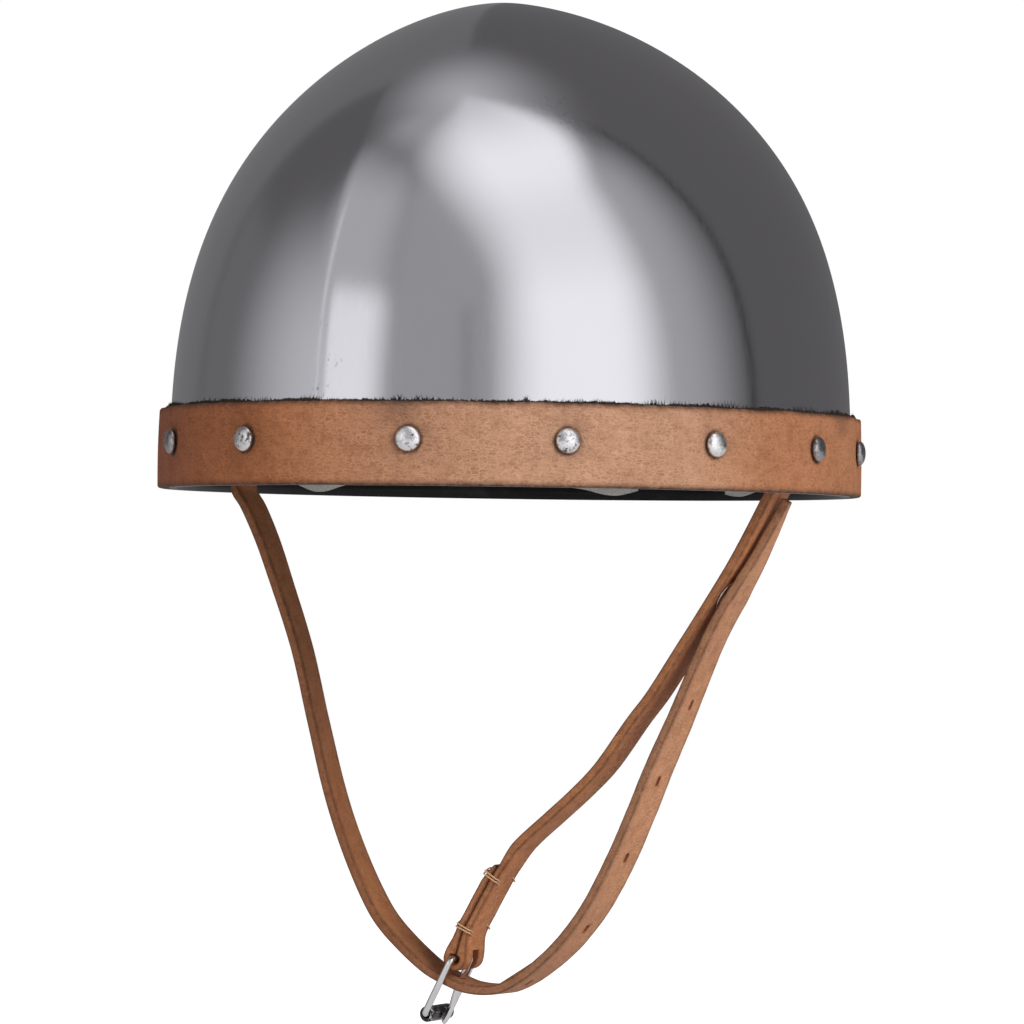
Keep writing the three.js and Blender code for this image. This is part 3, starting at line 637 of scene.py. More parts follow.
def lip_height(row):
    turn = band_turn(row * band_rows / lip_rows)
    torn = noise.noise(Vector((turn * 150, 0, 1))) + 0.7 * noise.noise(Vector((turn * 420, 0, 5)))
    ragged = smooth_share(noise.noise(Vector((turn * 7, 0, 8))), -0.35, 0.35)
    return lip_least + max(0, lip_usual + lip_torn * torn) * (0.2 + 0.8 * ragged)


def lip_place(row, column):
    turn = band_turn(row * band_rows / lip_rows)
    tall = lip_height(row)
    height, out = [
        (-lip_depth, lip_face), (-lip_depth, lip_back), (0.0, lip_back), (tall, lip_middle), (tall, lip_tip),
    ][column % 5]
    return wall_point(turn, band_height + height, -clearance - out)


def add_fibre(bm):
    """One loose fibre: a thin three-sided spike, tall where its clump is thick."""
    turn = lip_dice.uniform(-math.pi, math.pi)
    clump = smooth_share(noise.noise(Vector((turn * 5.5, 2, 4))), -0.3, 0.35)
    tall = lip_dice.uniform(*fibre_tall) + fibre_clump * clump * lip_dice.random() ** 1.5
    lean = lip_dice.uniform(-0.7, 0.7)
    foot = wall_point(turn, band_height, -clearance - fibre_root)
    out = wall_normal(turn, band_height)
    along = (wall_point(turn + 0.001, band_height) - foot + out * 2 * fibre_root).normalized()
    tip = foot + Vector((0, 0, tall)) + along * lean * tall + out * lip_dice.uniform(0, fibre_stray)
    wide = lip_dice.uniform(*fibre_half)
    spike = (foot - along * wide, foot + out * wide, foot + along * wide, tip)
    corners = [bm.verts.new(point) for point in spike]
    for first, second, third in ((0, 1, 3), (1, 2, 3), (2, 0, 3), (0, 2, 1)):
        bm.faces.new((corners[first], corners[second], corners[third]))


bm = laid_grid(lip_rows, 5, lip_place, cap=True)
for _ in range(fibre_count):
    add_fibre(bm)
bmesh.ops.recalc_face_normals(bm, faces=bm.faces)


def raw_fibre_material():
    raw = Nodes("raw_fibre")
    fleck = raw.noise(1500, 3, 0.7)
    raw.look({
        "Base Color": raw.mix(fleck, (0.012, 0.010, 0.010), (0.05, 0.035, 0.027)),
        "Roughness": 0.95, "Specular IOR Level": 0.1,
    })
    return raw.material


finished(new_object("frayed_band_edge", bm, smooth=False), "helmet", raw_fibre_material(), "band_leather")

# Rivets and washers. Mild steel rivets with hammered dome heads outside, closed over a washer on
# the lining's inner side. Every head is struck by hand, so no two are quite alike.
liner_thickness = 0.0012
liner_play = 0.0005
strap_play = 0.0013
strap_thickness = 0.0028
washer_play = 0.0006
washer_thickness = 0.0008
washer_radius = 0.0035
washer_ease, washer_flat = 0.00015, 0.0033
rivet_tall = 0.0022
rivet_sink = 0.0001
# The end closed over the washer: radius and height past it
closed_end = [(0, 0.0009), (0.0012, 0.00088), (0.0019, 0.0005), (0.0021, 0)]
liner_depth = steel_thickness + liner_play + liner_thickness
strap_depth = liner_depth + strap_play + strap_thickness
shank_radius = 0.0014
blow_count = 9
dice = random.Random(7)


def turned_body(profile, segments=28):
    """A profile of (radius, height) points spun once round +Z."""
    bm = bmesh.new()
    corners = [bm.verts.new((radius, 0, height)) for radius, height in profile]
    edges = [bm.edges.new(pair) for pair in zip(corners, corners[1:])]
    bmesh.ops.spin(
        bm, geom=corners + edges, cent=(0, 0, 0), axis=(0, 0, 1), angle=2 * math.pi,
        steps=segments, use_merge=True,
    )
    bmesh.ops.remove_doubles(bm, verts=bm.verts, dist=1e-6)
    bmesh.ops.recalc_face_normals(bm, faces=bm.faces)
    return bm


def struck(bm, head, low, depth):
    """Hammer facets on a dome: points above low are pushed down by a few flat blows."""
    blows = []
    for _ in range(blow_count):
        way = Vector((dice.uniform(-0.7, 0.7), dice.uniform(-0.7, 0.7), 1)).normalized()
        blows.append((way, dice.uniform(0.90, 0.985)))
    for corner in bm.verts:
        if corner.co.z < low:
            continue
        rel = Vector((corner.co.x / (head / 2), corner.co.y / (head / 2), (corner.co.z - low) / depth))
        for way, limit in blows:
            past = rel.dot(way) - limit
            if past > 0:
                corner.co.z -= past * depth * 0.9
                rel = Vector((rel.x, rel.y, (corner.co.z - low) / depth))


def set_along(bm, at, axis):
    """Moves a body made along +Z to its place and axis."""
    turn = Vector((0, 0, 1)).rotation_difference(axis).to_matrix().to_4x4()
    bmesh.ops.transform(bm, matrix=Matrix.Translation(at) @ turn, verts=bm.verts)


def rivet_body(head, tall, seat, depth):
    """A rivet along +Z: a dome on its seat above, its closed end at the depth below."""
    arc = [step * math.pi / 24 for step in range(12)]
    dome = [(head / 2 * math.cos(angle), seat + tall * (0.25 + 0.75 * math.sin(angle))) for angle in arc]
    foot = [(radius, -depth - past) for radius, past in closed_end]
    shank = [(shank_radius, -depth), (shank_radius, seat)]
    rim = [(head / 2 * 0.97, seat), (head / 2, seat + tall * 0.1)]
    bm = turned_body([*foot, *shank, *rim, *dome, (0, seat + tall)])
    struck(bm, head, seat + tall * 0.3, tall * 0.75)
    return bm


def washer_body(high=washer_thickness):
    hole = shank_radius + clearance
    return turned_body([
        (hole, 0), (washer_flat, 0), (washer_radius, washer_ease), (washer_radius, high - washer_ease),
        (washer_flat, high), (hole, high), (hole, 0),
    ])


def bare_steel_material(name, clean):
    iron = Nodes(name)
    dirt = iron.ramp(iron.noise(620, 4, 0.7), 0.5, 0.66)
    iron.look({
        "Metallic": 1.0,
        "Base Color": iron.mix(dirt, clean, (0.15, 0.13, 0.12)),
        "Roughness": iron.ramp(dirt, 0, 1, 0.24, 0.5, "LINEAR"),
        "Normal": iron.bump(iron.noise(800, 3, 0.6), 0.00016, 0.7),
    })
    return iron.material


hammered_iron = bare_steel_material("hammered_iron", (0.80, 0.79, 0.78))
dull_iron = bare_steel_material("dull_iron", (0.40, 0.39, 0.385))
bright_rivets = (0, 1, 2, 3)
for index, (foot, axis) in enumerate(zip(rivet_feet, rivet_axes)):
    number = f"{index + 1:02d}"
    stack = strap_depth if index in ear_rivets else liner_depth
    depth = stack + washer_play + washer_thickness + clearance
    bm = rivet_body(rivet_head, rivet_tall, clearance + band_thickness - rivet_sink, depth)
    set_along(bm, foot, axis)
    iron = hammered_iron if index in bright_rivets else dull_iron
    finished(new_object(f"dome_rivet_{number}", bm), "helmet", iron, "rivet_steel", f"rivet_{number}")
    bm = washer_body()
    set_along(bm, foot + axis * (clearance - depth), axis)
    finished(new_object(f"flat_washer_{number}", bm), "helmet", dull_iron, "rivet_steel", f"washer_{number}")


# Lining. Seven tongues of thin grey suede, riveted in with the band and drawn together over the
# head by a lace that runs through a hem at each tip. Their lower edges sag between the rivets.
liner_flat_height = 0.024
liner_crown_inset = 0.025
liner_crown_share = 0.972
liner_crown_height = liner_crown_share * (skull_height - liner_crown_inset)
liner_sag = 0.0009
tongue_margin = 0.010
tongue_tip = 0.0056
tongue_edge_rise = 0.0040
# Where the lower edge sags below the band: turn and half width in degrees, and depth
tongue_drops = [(166, 5.2, 0.0028), (193, 5, 0.0026), (249.5, 4.5, 0.0030)]
tongue_hem = 0.007
lace_diameter = 0.002
lace_tunnel = lace_diameter / 2 + 2 * clearance + liner_thickness / 2
foot_climb = 0.22
tongue_rows = 74
tongue_columns = 40
hem_rows, hem_flat_rows = 12, 3


def liner_point(turn, climb, low_edge):
    """The lining's middle face at a turn and a share of the way from its low edge to the crown."""
    height = low_edge + (liner_crown_height - low_edge) * math.sin(climb * math.pi / 2)
    free = max(height - liner_flat_height, 0) / (liner_crown_height - liner_flat_height)
    flat = steel_thickness + liner_play + liner_thickness / 2
    return wall_point(turn, height, flat + (liner_crown_inset - flat) * free**1.5)


def tongue_frame(turn, climb, low_edge):
    """That point, the ways up and inwards there, and the arc length for each unit of turn."""
    step = 0.002
    at = liner_point(turn, climb, low_edge)
    rise = (at - liner_point(turn, climb - step, low_edge)).normalized()
    around = liner_point(turn + step, climb, low_edge) - liner_point(turn - step, climb, low_edge)
    speed = around.length / (2 * step)
    return at, rise, around.normalized().cross(rise).normalized(), speed


def tongue_sheet(number):
    """One tongue from its foot up to the crown, where it turns outwards round the lace."""
    first, second = rivet_turns[2 * number], rivet_turns[2 * number + 1]
    if second < first:
        second += 2 * math.pi
    middle = (first + second) / 2
    climbs = [row / tongue_rows for row in range(tongue_rows + 1)]
    speeds = [tongue_frame(middle, climb, 0)[3] for climb in climbs]
    foot_half = (second - first) / 2 * speeds[0] + tongue_margin

    def place(row, column):
        side = 2 * column / tongue_columns - 1
        turn = math.degrees(middle + side * foot_half / speeds[0])
        drop = sum(deep * math.exp(-(((turn - at) / wide) ** 2)) for at, wide, deep in tongue_drops)
        step = min(row, tongue_rows)
        taper = max(climbs[step] - foot_climb, 0) / (1 - foot_climb)
        half = foot_half + (tongue_tip - foot_half) * taper**0.8
        turn = middle + side * half / speeds[step]
        at, rise, out, _ = tongue_frame(turn, climbs[step], tongue_edge_rise - drop)
        if row <= tongue_rows:
            free = min(1, max(0, climbs[step] - 0.1) * 3)
            sag = abs(noise.noise(at * 22 + Vector((number, 0, 0)))) * liner_sag
            return at - out * sag * free
        angle = (row - tongue_rows) / (hem_rows - hem_flat_rows) * math.pi
        if angle <= math.pi:
            return at + out * lace_tunnel + (rise * math.sin(angle) - out * math.cos(angle)) * lace_tunnel
        down = (row - tongue_rows - hem_rows + hem_flat_rows) / hem_flat_rows * tongue_hem
        return at - rise * down + out * (2 * lace_tunnel - clearance * down / tongue_hem)

    return laid_grid(tongue_rows + hem_rows, tongue_columns, place)


def suede_material():
    suede = Nodes("grey_suede")
    nap = suede.noise(1400, 4, 0.7)
    tone = suede.mix(suede.ramp(suede.noise(40, 4), 0.3, 0.7), (0.56, 0.54, 0.50), (0.46, 0.44, 0.41))
    suede.look({
        "Base Color": suede.mix(suede.ramp(nap, 0.3, 0.8), tone, (0.34, 0.32, 0.29)),
        "Roughness": 0.95, "Specular IOR Level": 0.15, "Sheen Weight": 0.3,
        "Normal": suede.bump(nap, 0.00012, 0.6),
    })
    return suede.material


grey_suede = suede_material()
for number in range(7):
    tongue = new_object(f"suede_tongue_{number + 1}", tongue_sheet(number))
    wall = tongue.modifiers.new("wall", "SOLIDIFY")
    wall.thickness = liner_thickness
    wall.offset = 0
    finished(tongue, "helmet", grey_suede, "liner_leather", f"liner_tongue_{number + 1}")

# Crown lace. A round leather cord run through the seven hems and knotted at the back, with both
# tails hanging free inside.
lace_knot = 0.0064
lace_tail = 0.034
lace_rows = 420
knot_wide, knot_deep, knot_high = 0.0019, 0.0021, 0.0017
knot_gap = 0.001
knot_steps = 28


def round_sweep(points, radius_at, sides=12, closed=False):
    """A round bar along the points, its rings turned as little as the bends allow."""
    count = len(points)
    tangents = []
    for index in range(count):
        before = points[index - 1] if closed or index else points[0]
        after = points[(index + 1) % count] if closed or index < count - 1 else points[-1]
        tangents.append((after - before).normalized())
    upright = tangents[0].orthogonal().normalized()
    frames = []
    for tangent in tangents:
        upright = (upright - tangent * upright.dot(tangent)).normalized()
        frames.append((upright, tangent.cross(upright)))
    if closed:
        last, first = frames[-1], frames[0]
        slip = math.atan2(first[0].dot(last[1]), first[0].dot(last[0]))
    rows = count if closed else count - 1

    def place(row, column):
        index = row % count if closed else row
        one, other = frames[index]
        twist = slip * index / count if closed else 0
        angle = 2 * math.pi * (column % sides) / sides + twist
        out = one * math.cos(angle) + other * math.sin(angle)
        return points[index] + out * radius_at(index / max(count - 1, 1))

    return laid_grid(rows, sides, place, cap=not closed)


def lace_point(turn):
    at, rise, out, _ = tongue_frame(turn, 1, 0)
    return at + out * lace_tunnel


def curve_points(corners, steps):
    """Points on a smooth curve through the corners."""
    held = [corners[0] * 2 - corners[1], *corners, corners[-1] * 2 - corners[-2]]
    found = []
    for before, first, second, after in zip(held, held[1:], held[2:], held[3:]):
        for step in range(steps):
            t = step / steps
            found.append(
                first * (1 - 2.5 * t * t + 1.5 * t**3) + second * (0.5 * t + 2 * t * t - 1.5 * t**3)
                + before * (-0.5 * t + t * t - 0.5 * t**3) + after * (-0.5 * t * t + 0.5 * t**3)
            )
    return [*found, corners[-1]]


def join_into(bm, other):
    mesh = bpy.data.meshes.new("joined")
    other.to_mesh(mesh)
    other.free()
    bm.from_mesh(mesh)
    bpy.data.meshes.remove(mesh)


knot_turn = (rivet_turns[7] + rivet_turns[8]) / 2
knot_at = lace_point(knot_turn)
bm = round_sweep(
    [lace_point(knot_turn + 2 * math.pi * row / lace_rows) for row in range(lace_rows)],
    lambda share: lace_diameter / 2, closed=True,
)
for side in (-1, 1):
    hang = [
        knot_at + Vector((side * aside * lace_knot, 0, -down * lace_tail))
        for aside, down in ((0, 0), (0.9, 0.25), (1, 0.5), (1, 1))
    ]
    join_into(bm, round_sweep(curve_points(hang, 8), lambda share: lace_diameter / 2))
for tilt in (-0.5, 0.5):
    turns = [2 * math.pi * step / knot_steps for step in range(knot_steps)]
    loop = [
        knot_at + Vector((
            math.cos(turn) * knot_wide, math.sin(turn) * knot_deep,
            math.sin(turn + tilt) * knot_high + tilt * knot_gap,
        ))
        for turn in turns
    ]
    join_into(bm, round_sweep(loop, lambda share: lace_diameter / 2, closed=True))


def lace_material():
    cord = Nodes("dark_lace")
    weave = cord.noise(1600, 3, 0.6)
    cord.look({
        "Base Color": cord.mix(weave, (0.06, 0.042, 0.03), (0.16, 0.11, 0.075)),
        "Roughness": 0.7, "Normal": cord.bump(weave, 0.0001, 0.6),
    })
    return cord.material


finished(new_object("drawn_lace", bm), "helmet", lace_material(), "lace_cord", "crown_lace")

# Long strap. Half-inch bridle leather hung from the right ear rivet, under the chin, through the
# buckle and up inside the left strap to the rim. Its end is tapered, and of its punched slots only
# the one that the prong holds stands open.
strap_width = 0.0125
strap_round = 0.0007
strap_rough, strap_wobble = 0.00007, 0.00022
strap_wear = 0.0007
strap_end = 0.0066
strap_taper = 0.034
strap_tip = 0.0024
route_steps = 60
look_step = 0.0008
strap_drop = 0.1472
tail_lean, far_lean = math.radians(10), math.radians(8)
fade_and_light_before, fade_and_light_after = 0.03, 0.05
hole_spacing = 0.0247
hole_length = 0.005
closed_hole_length = 0.0033
closed_hole_width = 0.0013
hole_count = 6
punch_length = 0.009
cut_edge = math.radians(42)
strap_plane = rivet_feet[4].y
anchor_reach = rivet_feet[4].x - strap_depth + strap_thickness / 2
wire = 0.002
prong_thick = 0.0018
roller_thick = 0.0047
frame_half = 0.008
frame_reach = 0.019
frame_lean = math.radians(27.5)
under_bar = 0.0074
across = Vector((0, 1, 0))


def strap_point(x, z):
    return Vector((x, strap_plane, z))


def strap_points(shares):
    """Points of a route as shares of the straps' half spread and of their drop below the rim."""
    return [strap_point(reach * anchor_reach, drop * strap_drop) for reach, drop in shares]


bar_at = strap_points([(-0.141, -0.9383)])[0]


def from_bar(sideways, down, aside=0.0):
    """A point in the leaning buckle's own directions, from the middle of its inner bar."""
    return bar_at + Vector((
        sideways * math.cos(frame_lean) - down * math.sin(frame_lean), aside,
        -sideways * math.sin(frame_lean) - down * math.cos(frame_lean),
    ))


def smooth_route(corners):
    """Even steps along a centripetal curve through the corners: (distance, point) pairs."""
    held = [corners[0] * 2 - corners[1], *corners, corners[-1] * 2 - corners[-2]]
    points = []
    for p0, p1, p2, p3 in zip(held, held[1:], held[2:], held[3:]):
        d0, d1, d2 = ((b - a).length**0.5 for a, b in ((p0, p1), (p1, p2), (p2, p3)))
        t1 = ((p1 - p0) / d0 - (p2 - p0) / (d0 + d1) + (p2 - p1) / d1) * d1
        t2 = ((p2 - p1) / d1 - (p3 - p1) / (d1 + d2) + (p3 - p2) / d2) * d1
        bend, twist = p1 * -3 + p2 * 3 - t1 * 2 - t2, p1 * 2 - p2 * 2 + t1 + t2
        for step in range(route_steps):
            t = step / route_steps
            points.append(p1 + t1 * t + bend * t * t + twist * t**3)
    points.append(corners[-1])
    route, far = [(0.0, points[0])], 0.0
    for before, after in zip(points, points[1:]):
        far += (after - before).length
        route.append((far, after))
    return route


def on_route(route, distance):
    """Where the route is at a distance, the way it runs there, and the way its face looks."""
    def at(far):
        far = min(max(far, 0), route[-1][0])
        low, high = 0, len(route) - 1
        while high - low > 1:
            middle = (low + high) // 2
            low, high = (middle, high) if route[middle][0] <= far else (low, middle)
        share = (far - route[low][0]) / max(route[high][0] - route[low][0], 1e-12)
        return route[low][1].lerp(route[high][1], share)

    along = (at(distance + look_step) - at(distance - look_step)).normalized()
    return at(distance), along, across.cross(along).normalized()


long_route = smooth_route([
    strap_point(-anchor_reach, rivet_height + strap_end),
    strap_point(-anchor_reach, rivet_height - strap_end),
    *strap_points([
        (-0.996, 0.004), (-0.962, -0.027), (-0.906, -0.095), (-0.855, -0.172), (-0.765, -0.32),
        (-0.7, -0.467), (-0.632, -0.613), (-0.572, -0.71), (-0.496, -0.806), (-0.433, -0.866),
        (-0.348, -0.917),
    ]),
    from_bar(-0.85 * under_bar, 1.05 * under_bar), from_bar(0, under_bar),
    from_bar(0.85 * under_bar, 0.86 * under_bar),
    *strap_points([
        (-0.046, -1), (0.02, -0.996), (0.084, -0.978), (0.149, -0.951), (0.236, -0.905),
        (0.331, -0.835), (0.423, -0.737), (0.497, -0.64), (0.564, -0.543), (0.636, -0.448),
        (0.761, -0.277), (0.846, -0.189), (0.909, -0.124), (1.004, -0.013),
    ]),
])
long_length = long_route[-1][0]
crossing = min(long_route, key=lambda pair: (pair[1] - from_bar(0, under_bar)).length)[0]


def turned_run(distance):
    """Either run leans its rear edge outwards, most of all half way along."""
    at, along, facing = on_route(long_route, distance)
    on_tail = distance > crossing
    start = crossing + hole_spacing / 2 if on_tail else 2 * strap_end
    end = long_length - 2 * hole_spacing if on_tail else crossing - hole_spacing
    share = min(max((distance - start) / (end - start), 0), 1)
    angle = (tail_lean if on_tail else far_lean) * math.sin(share * math.pi)
    side = across * math.cos(angle) + facing * math.sin(angle)
    return at, along, facing * math.cos(angle) - across * math.sin(angle), side


def rounded_end(distance, radius):
    """Half the width at a distance from a half-round end."""
    inside = max(radius - distance, 0) / radius
    return max(radius * math.sqrt(max(1 - inside**2, 0)), radius * 0.12)


def strap_section(half, low, high):
    """The strap's section, its corners eased by no more than its size allows."""
    ease = min(strap_round, (high - low) * 0.35, half * 0.6)
    return strip_outline(-half, half, low, high, ease, across=8, arc=3)


def strap_body(stations, seed, fade_and_light_shares):
    """A leather strip: each station is (at, facing, side, half width, low face, high face)."""
    outlines = [strap_section(half, low, high) for _, _, _, half, low, high in stations]
    around = len(outlines[0])

    def place(row, column):
        at, facing, side, _, _, _ = stations[row]
        wide, thick = outlines[row][column % around]
        rough = noise.noise(Vector((row * 0.35, column * 0.9, seed))) * strap_rough
        wobble = noise.noise(Vector((row * 0.03, math.copysign(3, wide), seed))) * strap_wobble
        return at + side * (wide + math.copysign(wobble, wide) + rough) + facing * (thick + rough * 0.6)

    def edge(row, column):
        _, _, _, half, low, high = stations[row]
        wide, thick = outlines[row][column % around]
        corner = math.hypot(half - abs(wide), min(high - thick, thick - low))
        return math.exp(-((corner / strap_wear) ** 2))

    marks = {"edge": edge, "stain_and_shadow": lambda row, column: 0.0, "fade_and_light": lambda row, column: fade_and_light_shares[row]}
    return laid_grid(len(stations) - 1, around, place, marks, cap=True)


def slot_cutter(bm, at, along, facing, side, length, width):
    """A round-ended punch standing through the strap."""
    punch = bmesh.new()
    bmesh.ops.create_cone(
        punch, cap_ends=True, segments=24, radius1=width / 2, radius2=width / 2, depth=punch_length,
    )
    for corner in punch.verts:
        corner.co.x += math.copysign((length - width) / 2, corner.co.x)
    basis = Matrix((along, side * -1, facing)).transposed().to_4x4()
    bmesh.ops.transform(punch, matrix=Matrix.Translation(at) @ basis, verts=punch.verts)
    bmesh.ops.recalc_face_normals(punch, faces=punch.faces)
    join_into(bm, punch)


def cut_away(made, cutters):
    """The piece with the cutters taken out of it, as a plain mesh."""
    tool = new_object("punches", cutters, smooth=False)
    cut = made.modifiers.new("cut", "BOOLEAN")
    cut.operation = "DIFFERENCE"
    cut.solver = "EXACT"
    cut.object = tool
    graph = bpy.context.evaluated_depsgraph_get()
    mesh = bpy.data.meshes.new_from_object(made.evaluated_get(graph))
    made.modifiers.clear()
    made.data = mesh
    bpy.data.objects.remove(tool)
    mesh.set_sharp_from_angle(angle=cut_edge)
    return made


strap_step = 0.0011
half_strap = strap_thickness / 2
rounded_steps = [strap_step * 0.25 * step for step in range(24)]
distances = list(rounded_steps)
for step in range(int((long_length - rounded_steps[-1]) / strap_step)):
    distances.append(rounded_steps[-1] + strap_step * (step + 1))
distances.append(long_length)
stations = []
for distance in distances:
    at, along, facing, side = turned_run(distance)
    left = min((long_length - distance) / strap_taper, 1)
    tip = strap_tip + (strap_width - strap_tip) * left
    half = min(rounded_end(distance, strap_width / 2), tip / 2)
    stations.append((at, facing, side, half, -half_strap, half_strap))
# One strap, its tail beyond the buckle given the pale tone and its far run the dark one: partly painted
# light on the tail and painted shade on the far run
paler = [smooth_share(distance, crossing - fade_and_light_before, crossing + fade_and_light_after) for distance in distances]
bm = strap_body(stations, 3, [0.1 + 0.85 * share for share in paler])
prong_bend = (wire + prong_thick) / 2 + clearance
roller_side = (roller_thick + prong_thick) / 2 + clearance
bow_share = 0.79


def prong_out(down):
    """How far the prong stands out: bowed over the strap, then bent down over the roller."""
    beyond = max(down - frame_reach, 0)
    bow = min((down / (bow_share * frame_reach)) ** 3, 1)
    return prong_bend + (math.sqrt(roller_side**2 - beyond**2) - prong_bend) * bow


first_hole = crossing + prong_out(under_bar) - (hole_length - prong_thick) / 2 + clearance
cutters = bmesh.new()
for count in range(hole_count):
    at, along, facing, side = turned_run(first_hole + count * hole_spacing)
    in_use = count == 0
    length = hole_length if in_use else closed_hole_length
    width = prong_thick + 2 * clearance if in_use else closed_hole_width
    slot_cutter(cutters, at, along, facing, side, length, width)
ear_hole = 2 * (shank_radius + clearance)
at, along, facing = on_route(long_route, strap_end)
slot_cutter(cutters, at, along, facing, across, ear_hole, ear_hole)
long_strap = cut_away(new_object("long_chin_strap", bm), cutters)
brown_leather = leather_material(
    "brown_strap_leather", faded_and_lit=(0.50, 0.24, 0.125), middle=(0.42, 0.18, 0.088),
    fresh_and_shaded=(0.36, 0.14, 0.056), edge_tone=(0.08, 0.035, 0.02), grain=0.8,
)
finished(long_strap, "chin_strap", brown_leather, "strap_leather", "long_strap")

# Buckle strap. The short half of the chin strap, hung from the left ear rivet with a stud set
# through it. Its lower end is thinned, folded round the buckle's bar and sewn back on itself.
near_route = smooth_route([
    strap_point(anchor_reach, rivet_height + strap_end),
    strap_point(anchor_reach, rivet_height - strap_end),
    *strap_points([
        (0.962, -0.006), (0.856, -0.124), (0.765, -0.211), (0.653, -0.313), (0.555, -0.401),
        (0.49, -0.45), (0.37, -0.547), (0.289, -0.596), (0.195, -0.646), (0.099, -0.696),
        (0.018, -0.746), (-0.043, -0.806), (-0.078, -0.844), (-0.11, -0.88),
    ]),
    bar_at,
])
near_length = near_route[-1][0]
stud_depth = 0.053
chape_length = 0.031
chape_blend = 0.010
chape_eye = 0.008
chape_thickness = 0.0021
chape_skive = 0.006
chape_corner, chape_blunt = 0.003, 0.0012
bar_play = 0.0006
bar_steps = 14
near_bar = 0.005
prong_slot = 0.0032


def chape_offset(to_bar):
    """How far the middle of either layer stands off the strap's line, by distance from the bar."""
    closed = (chape_thickness + clearance) / 2
    opened = wire / 2 + bar_play + chape_thickness / 2
    if to_bar > chape_length:
        return closed * (1 - smooth_share(to_bar, chape_length, chape_length + chape_blend))
    return opened + (closed - opened) * smooth_share(to_bar, 0, chape_eye)


def chape_point(to_bar, side):
    at, along, facing = on_route(near_route, near_length - to_bar)
    return at + facing * side * chape_offset(to_bar)


def chape_fill(to_bar):
    """How far the soft fold has swollen inwards, leaving only a round hole for the bar."""
    inside = chape_offset(to_bar) - chape_thickness / 2
    hole = math.sqrt(max((wire / 2 + bar_play) ** 2 - to_bar**2, 0))
    return max(inside - hole - clearance / 2, 0)


def thinned_half(to_bar):
    """Half the thickness, pared from the whole strap's down to the fold's."""
    share = smooth_share(to_bar, chape_length, chape_length + chape_blend)
    return (chape_thickness + (strap_thickness - chape_thickness) * share) / 2


def steps_between(low, high, step):
    count = max(1, round(abs(high - low) / step))
    return [low + (high - low) * index / count for index in range(count + 1)]


chape_start = near_length - chape_length - chape_blend
distances = rounded_steps + steps_between(rounded_steps[-1], chape_start, strap_step)[1:]
layers = [
    (on_route(near_route, distance)[0], half_strap, rounded_end(distance, strap_width / 2), 1, 0)
    for distance in distances
]
fine_steps = steps_between(0, near_bar, strap_step * 0.25)
for to_bar in steps_between(chape_length + chape_blend, near_bar, strap_step)[1:] + fine_steps[-2::-1]:
    layers.append((chape_point(to_bar, -1), thinned_half(to_bar), strap_width / 2, 1, chape_fill(to_bar)))
_, bar_along, bar_facing = on_route(near_route, near_length)
for step in range(1, bar_steps):
    angle = math.pi * step / bar_steps
    around_bar = bar_along * math.sin(angle) - bar_facing * math.cos(angle)
    layers.append((bar_at + around_bar * chape_offset(0), chape_thickness / 2, strap_width / 2, 1, 0))
for to_bar in fine_steps + steps_between(near_bar, chape_length, strap_step * 0.5)[1:]:
    to_end = chape_length - to_bar
    pared = 0.5 + 0.5 * min(to_end / chape_skive, 1)
    half = strap_width / 2 - chape_corner + rounded_end(to_end + chape_blunt, chape_corner)
    layers.append((chape_point(to_bar, 1), chape_thickness / 2, half, pared, chape_fill(to_bar)))
stations = []
for index, (at, half, half_width, pared, fill) in enumerate(layers):
    before, after = layers[max(index - 1, 0)][0], layers[min(index + 1, len(layers) - 1)][0]
    facing = across.cross((after - before).normalized()).normalized()
    stations.append((at, facing, across, half_width, half - 2 * half * pared, half + fill))
# The whole strap takes the pale tone, partly painted light on a face that lies in shade
bm = strap_body(stations, 17, [1.0] * len(stations))
cutters = bmesh.new()
at, along, facing = on_route(near_route, strap_end)
slot_cutter(cutters, at, along, facing, across, ear_hole, ear_hole)
stud_at, stud_along, stud_facing = on_route(near_route, stud_depth)
slot_cutter(cutters, stud_at, stud_along, stud_facing, across, ear_hole, ear_hole)
slot_size = 2 * (chape_offset(0) + chape_thickness / 2 + clearance)
box = bmesh.new()
bmesh.ops.create_cube(box, size=1)
bmesh.ops.scale(box, vec=(slot_size, prong_slot, slot_size), verts=box.verts)
leaning = Matrix.Translation(bar_at) @ Matrix.Rotation(frame_lean, 4, "Y")
bmesh.ops.transform(box, matrix=leaning, verts=box.verts)
join_into(cutters, box)
buckle_strap = cut_away(new_object("buckle_end_strap", bm), cutters)
red_leather = leather_material(
    "red_strap_leather", faded_and_lit=(0.53, 0.215, 0.09), middle=(0.44, 0.16, 0.065),
    fresh_and_shaded=(0.28, 0.09, 0.035), edge_tone=(0.08, 0.033, 0.018), grain=0.9,
)
finished(buckle_strap, "chin_strap", red_leather, "strap_leather", "buckle_strap")

# Whip stitches. Waxed thread taken twice round the near edge of the fold, above and below, and once
# round its far edge.
thread = 0.00024
thread_pitch = 0.0009
thread_rise = 0.7 * thread
near_slant, far_slant = 0.0009, -0.0012
# From its hole over the face to the edge: in from the edge, in from the face, share of the slant
stitch_run = [(0.0029, 0.0007, 1), (0.0024, 0, 1), (0.0004, 0, 0), (0, 0.0005, 0)]
# Distance from the bar, edge and number of turns
stitches = ((0.0272, -1, 2), (0.0092, -1, 2), (0.0100, 1, 1), (0.0268, 1, 1))


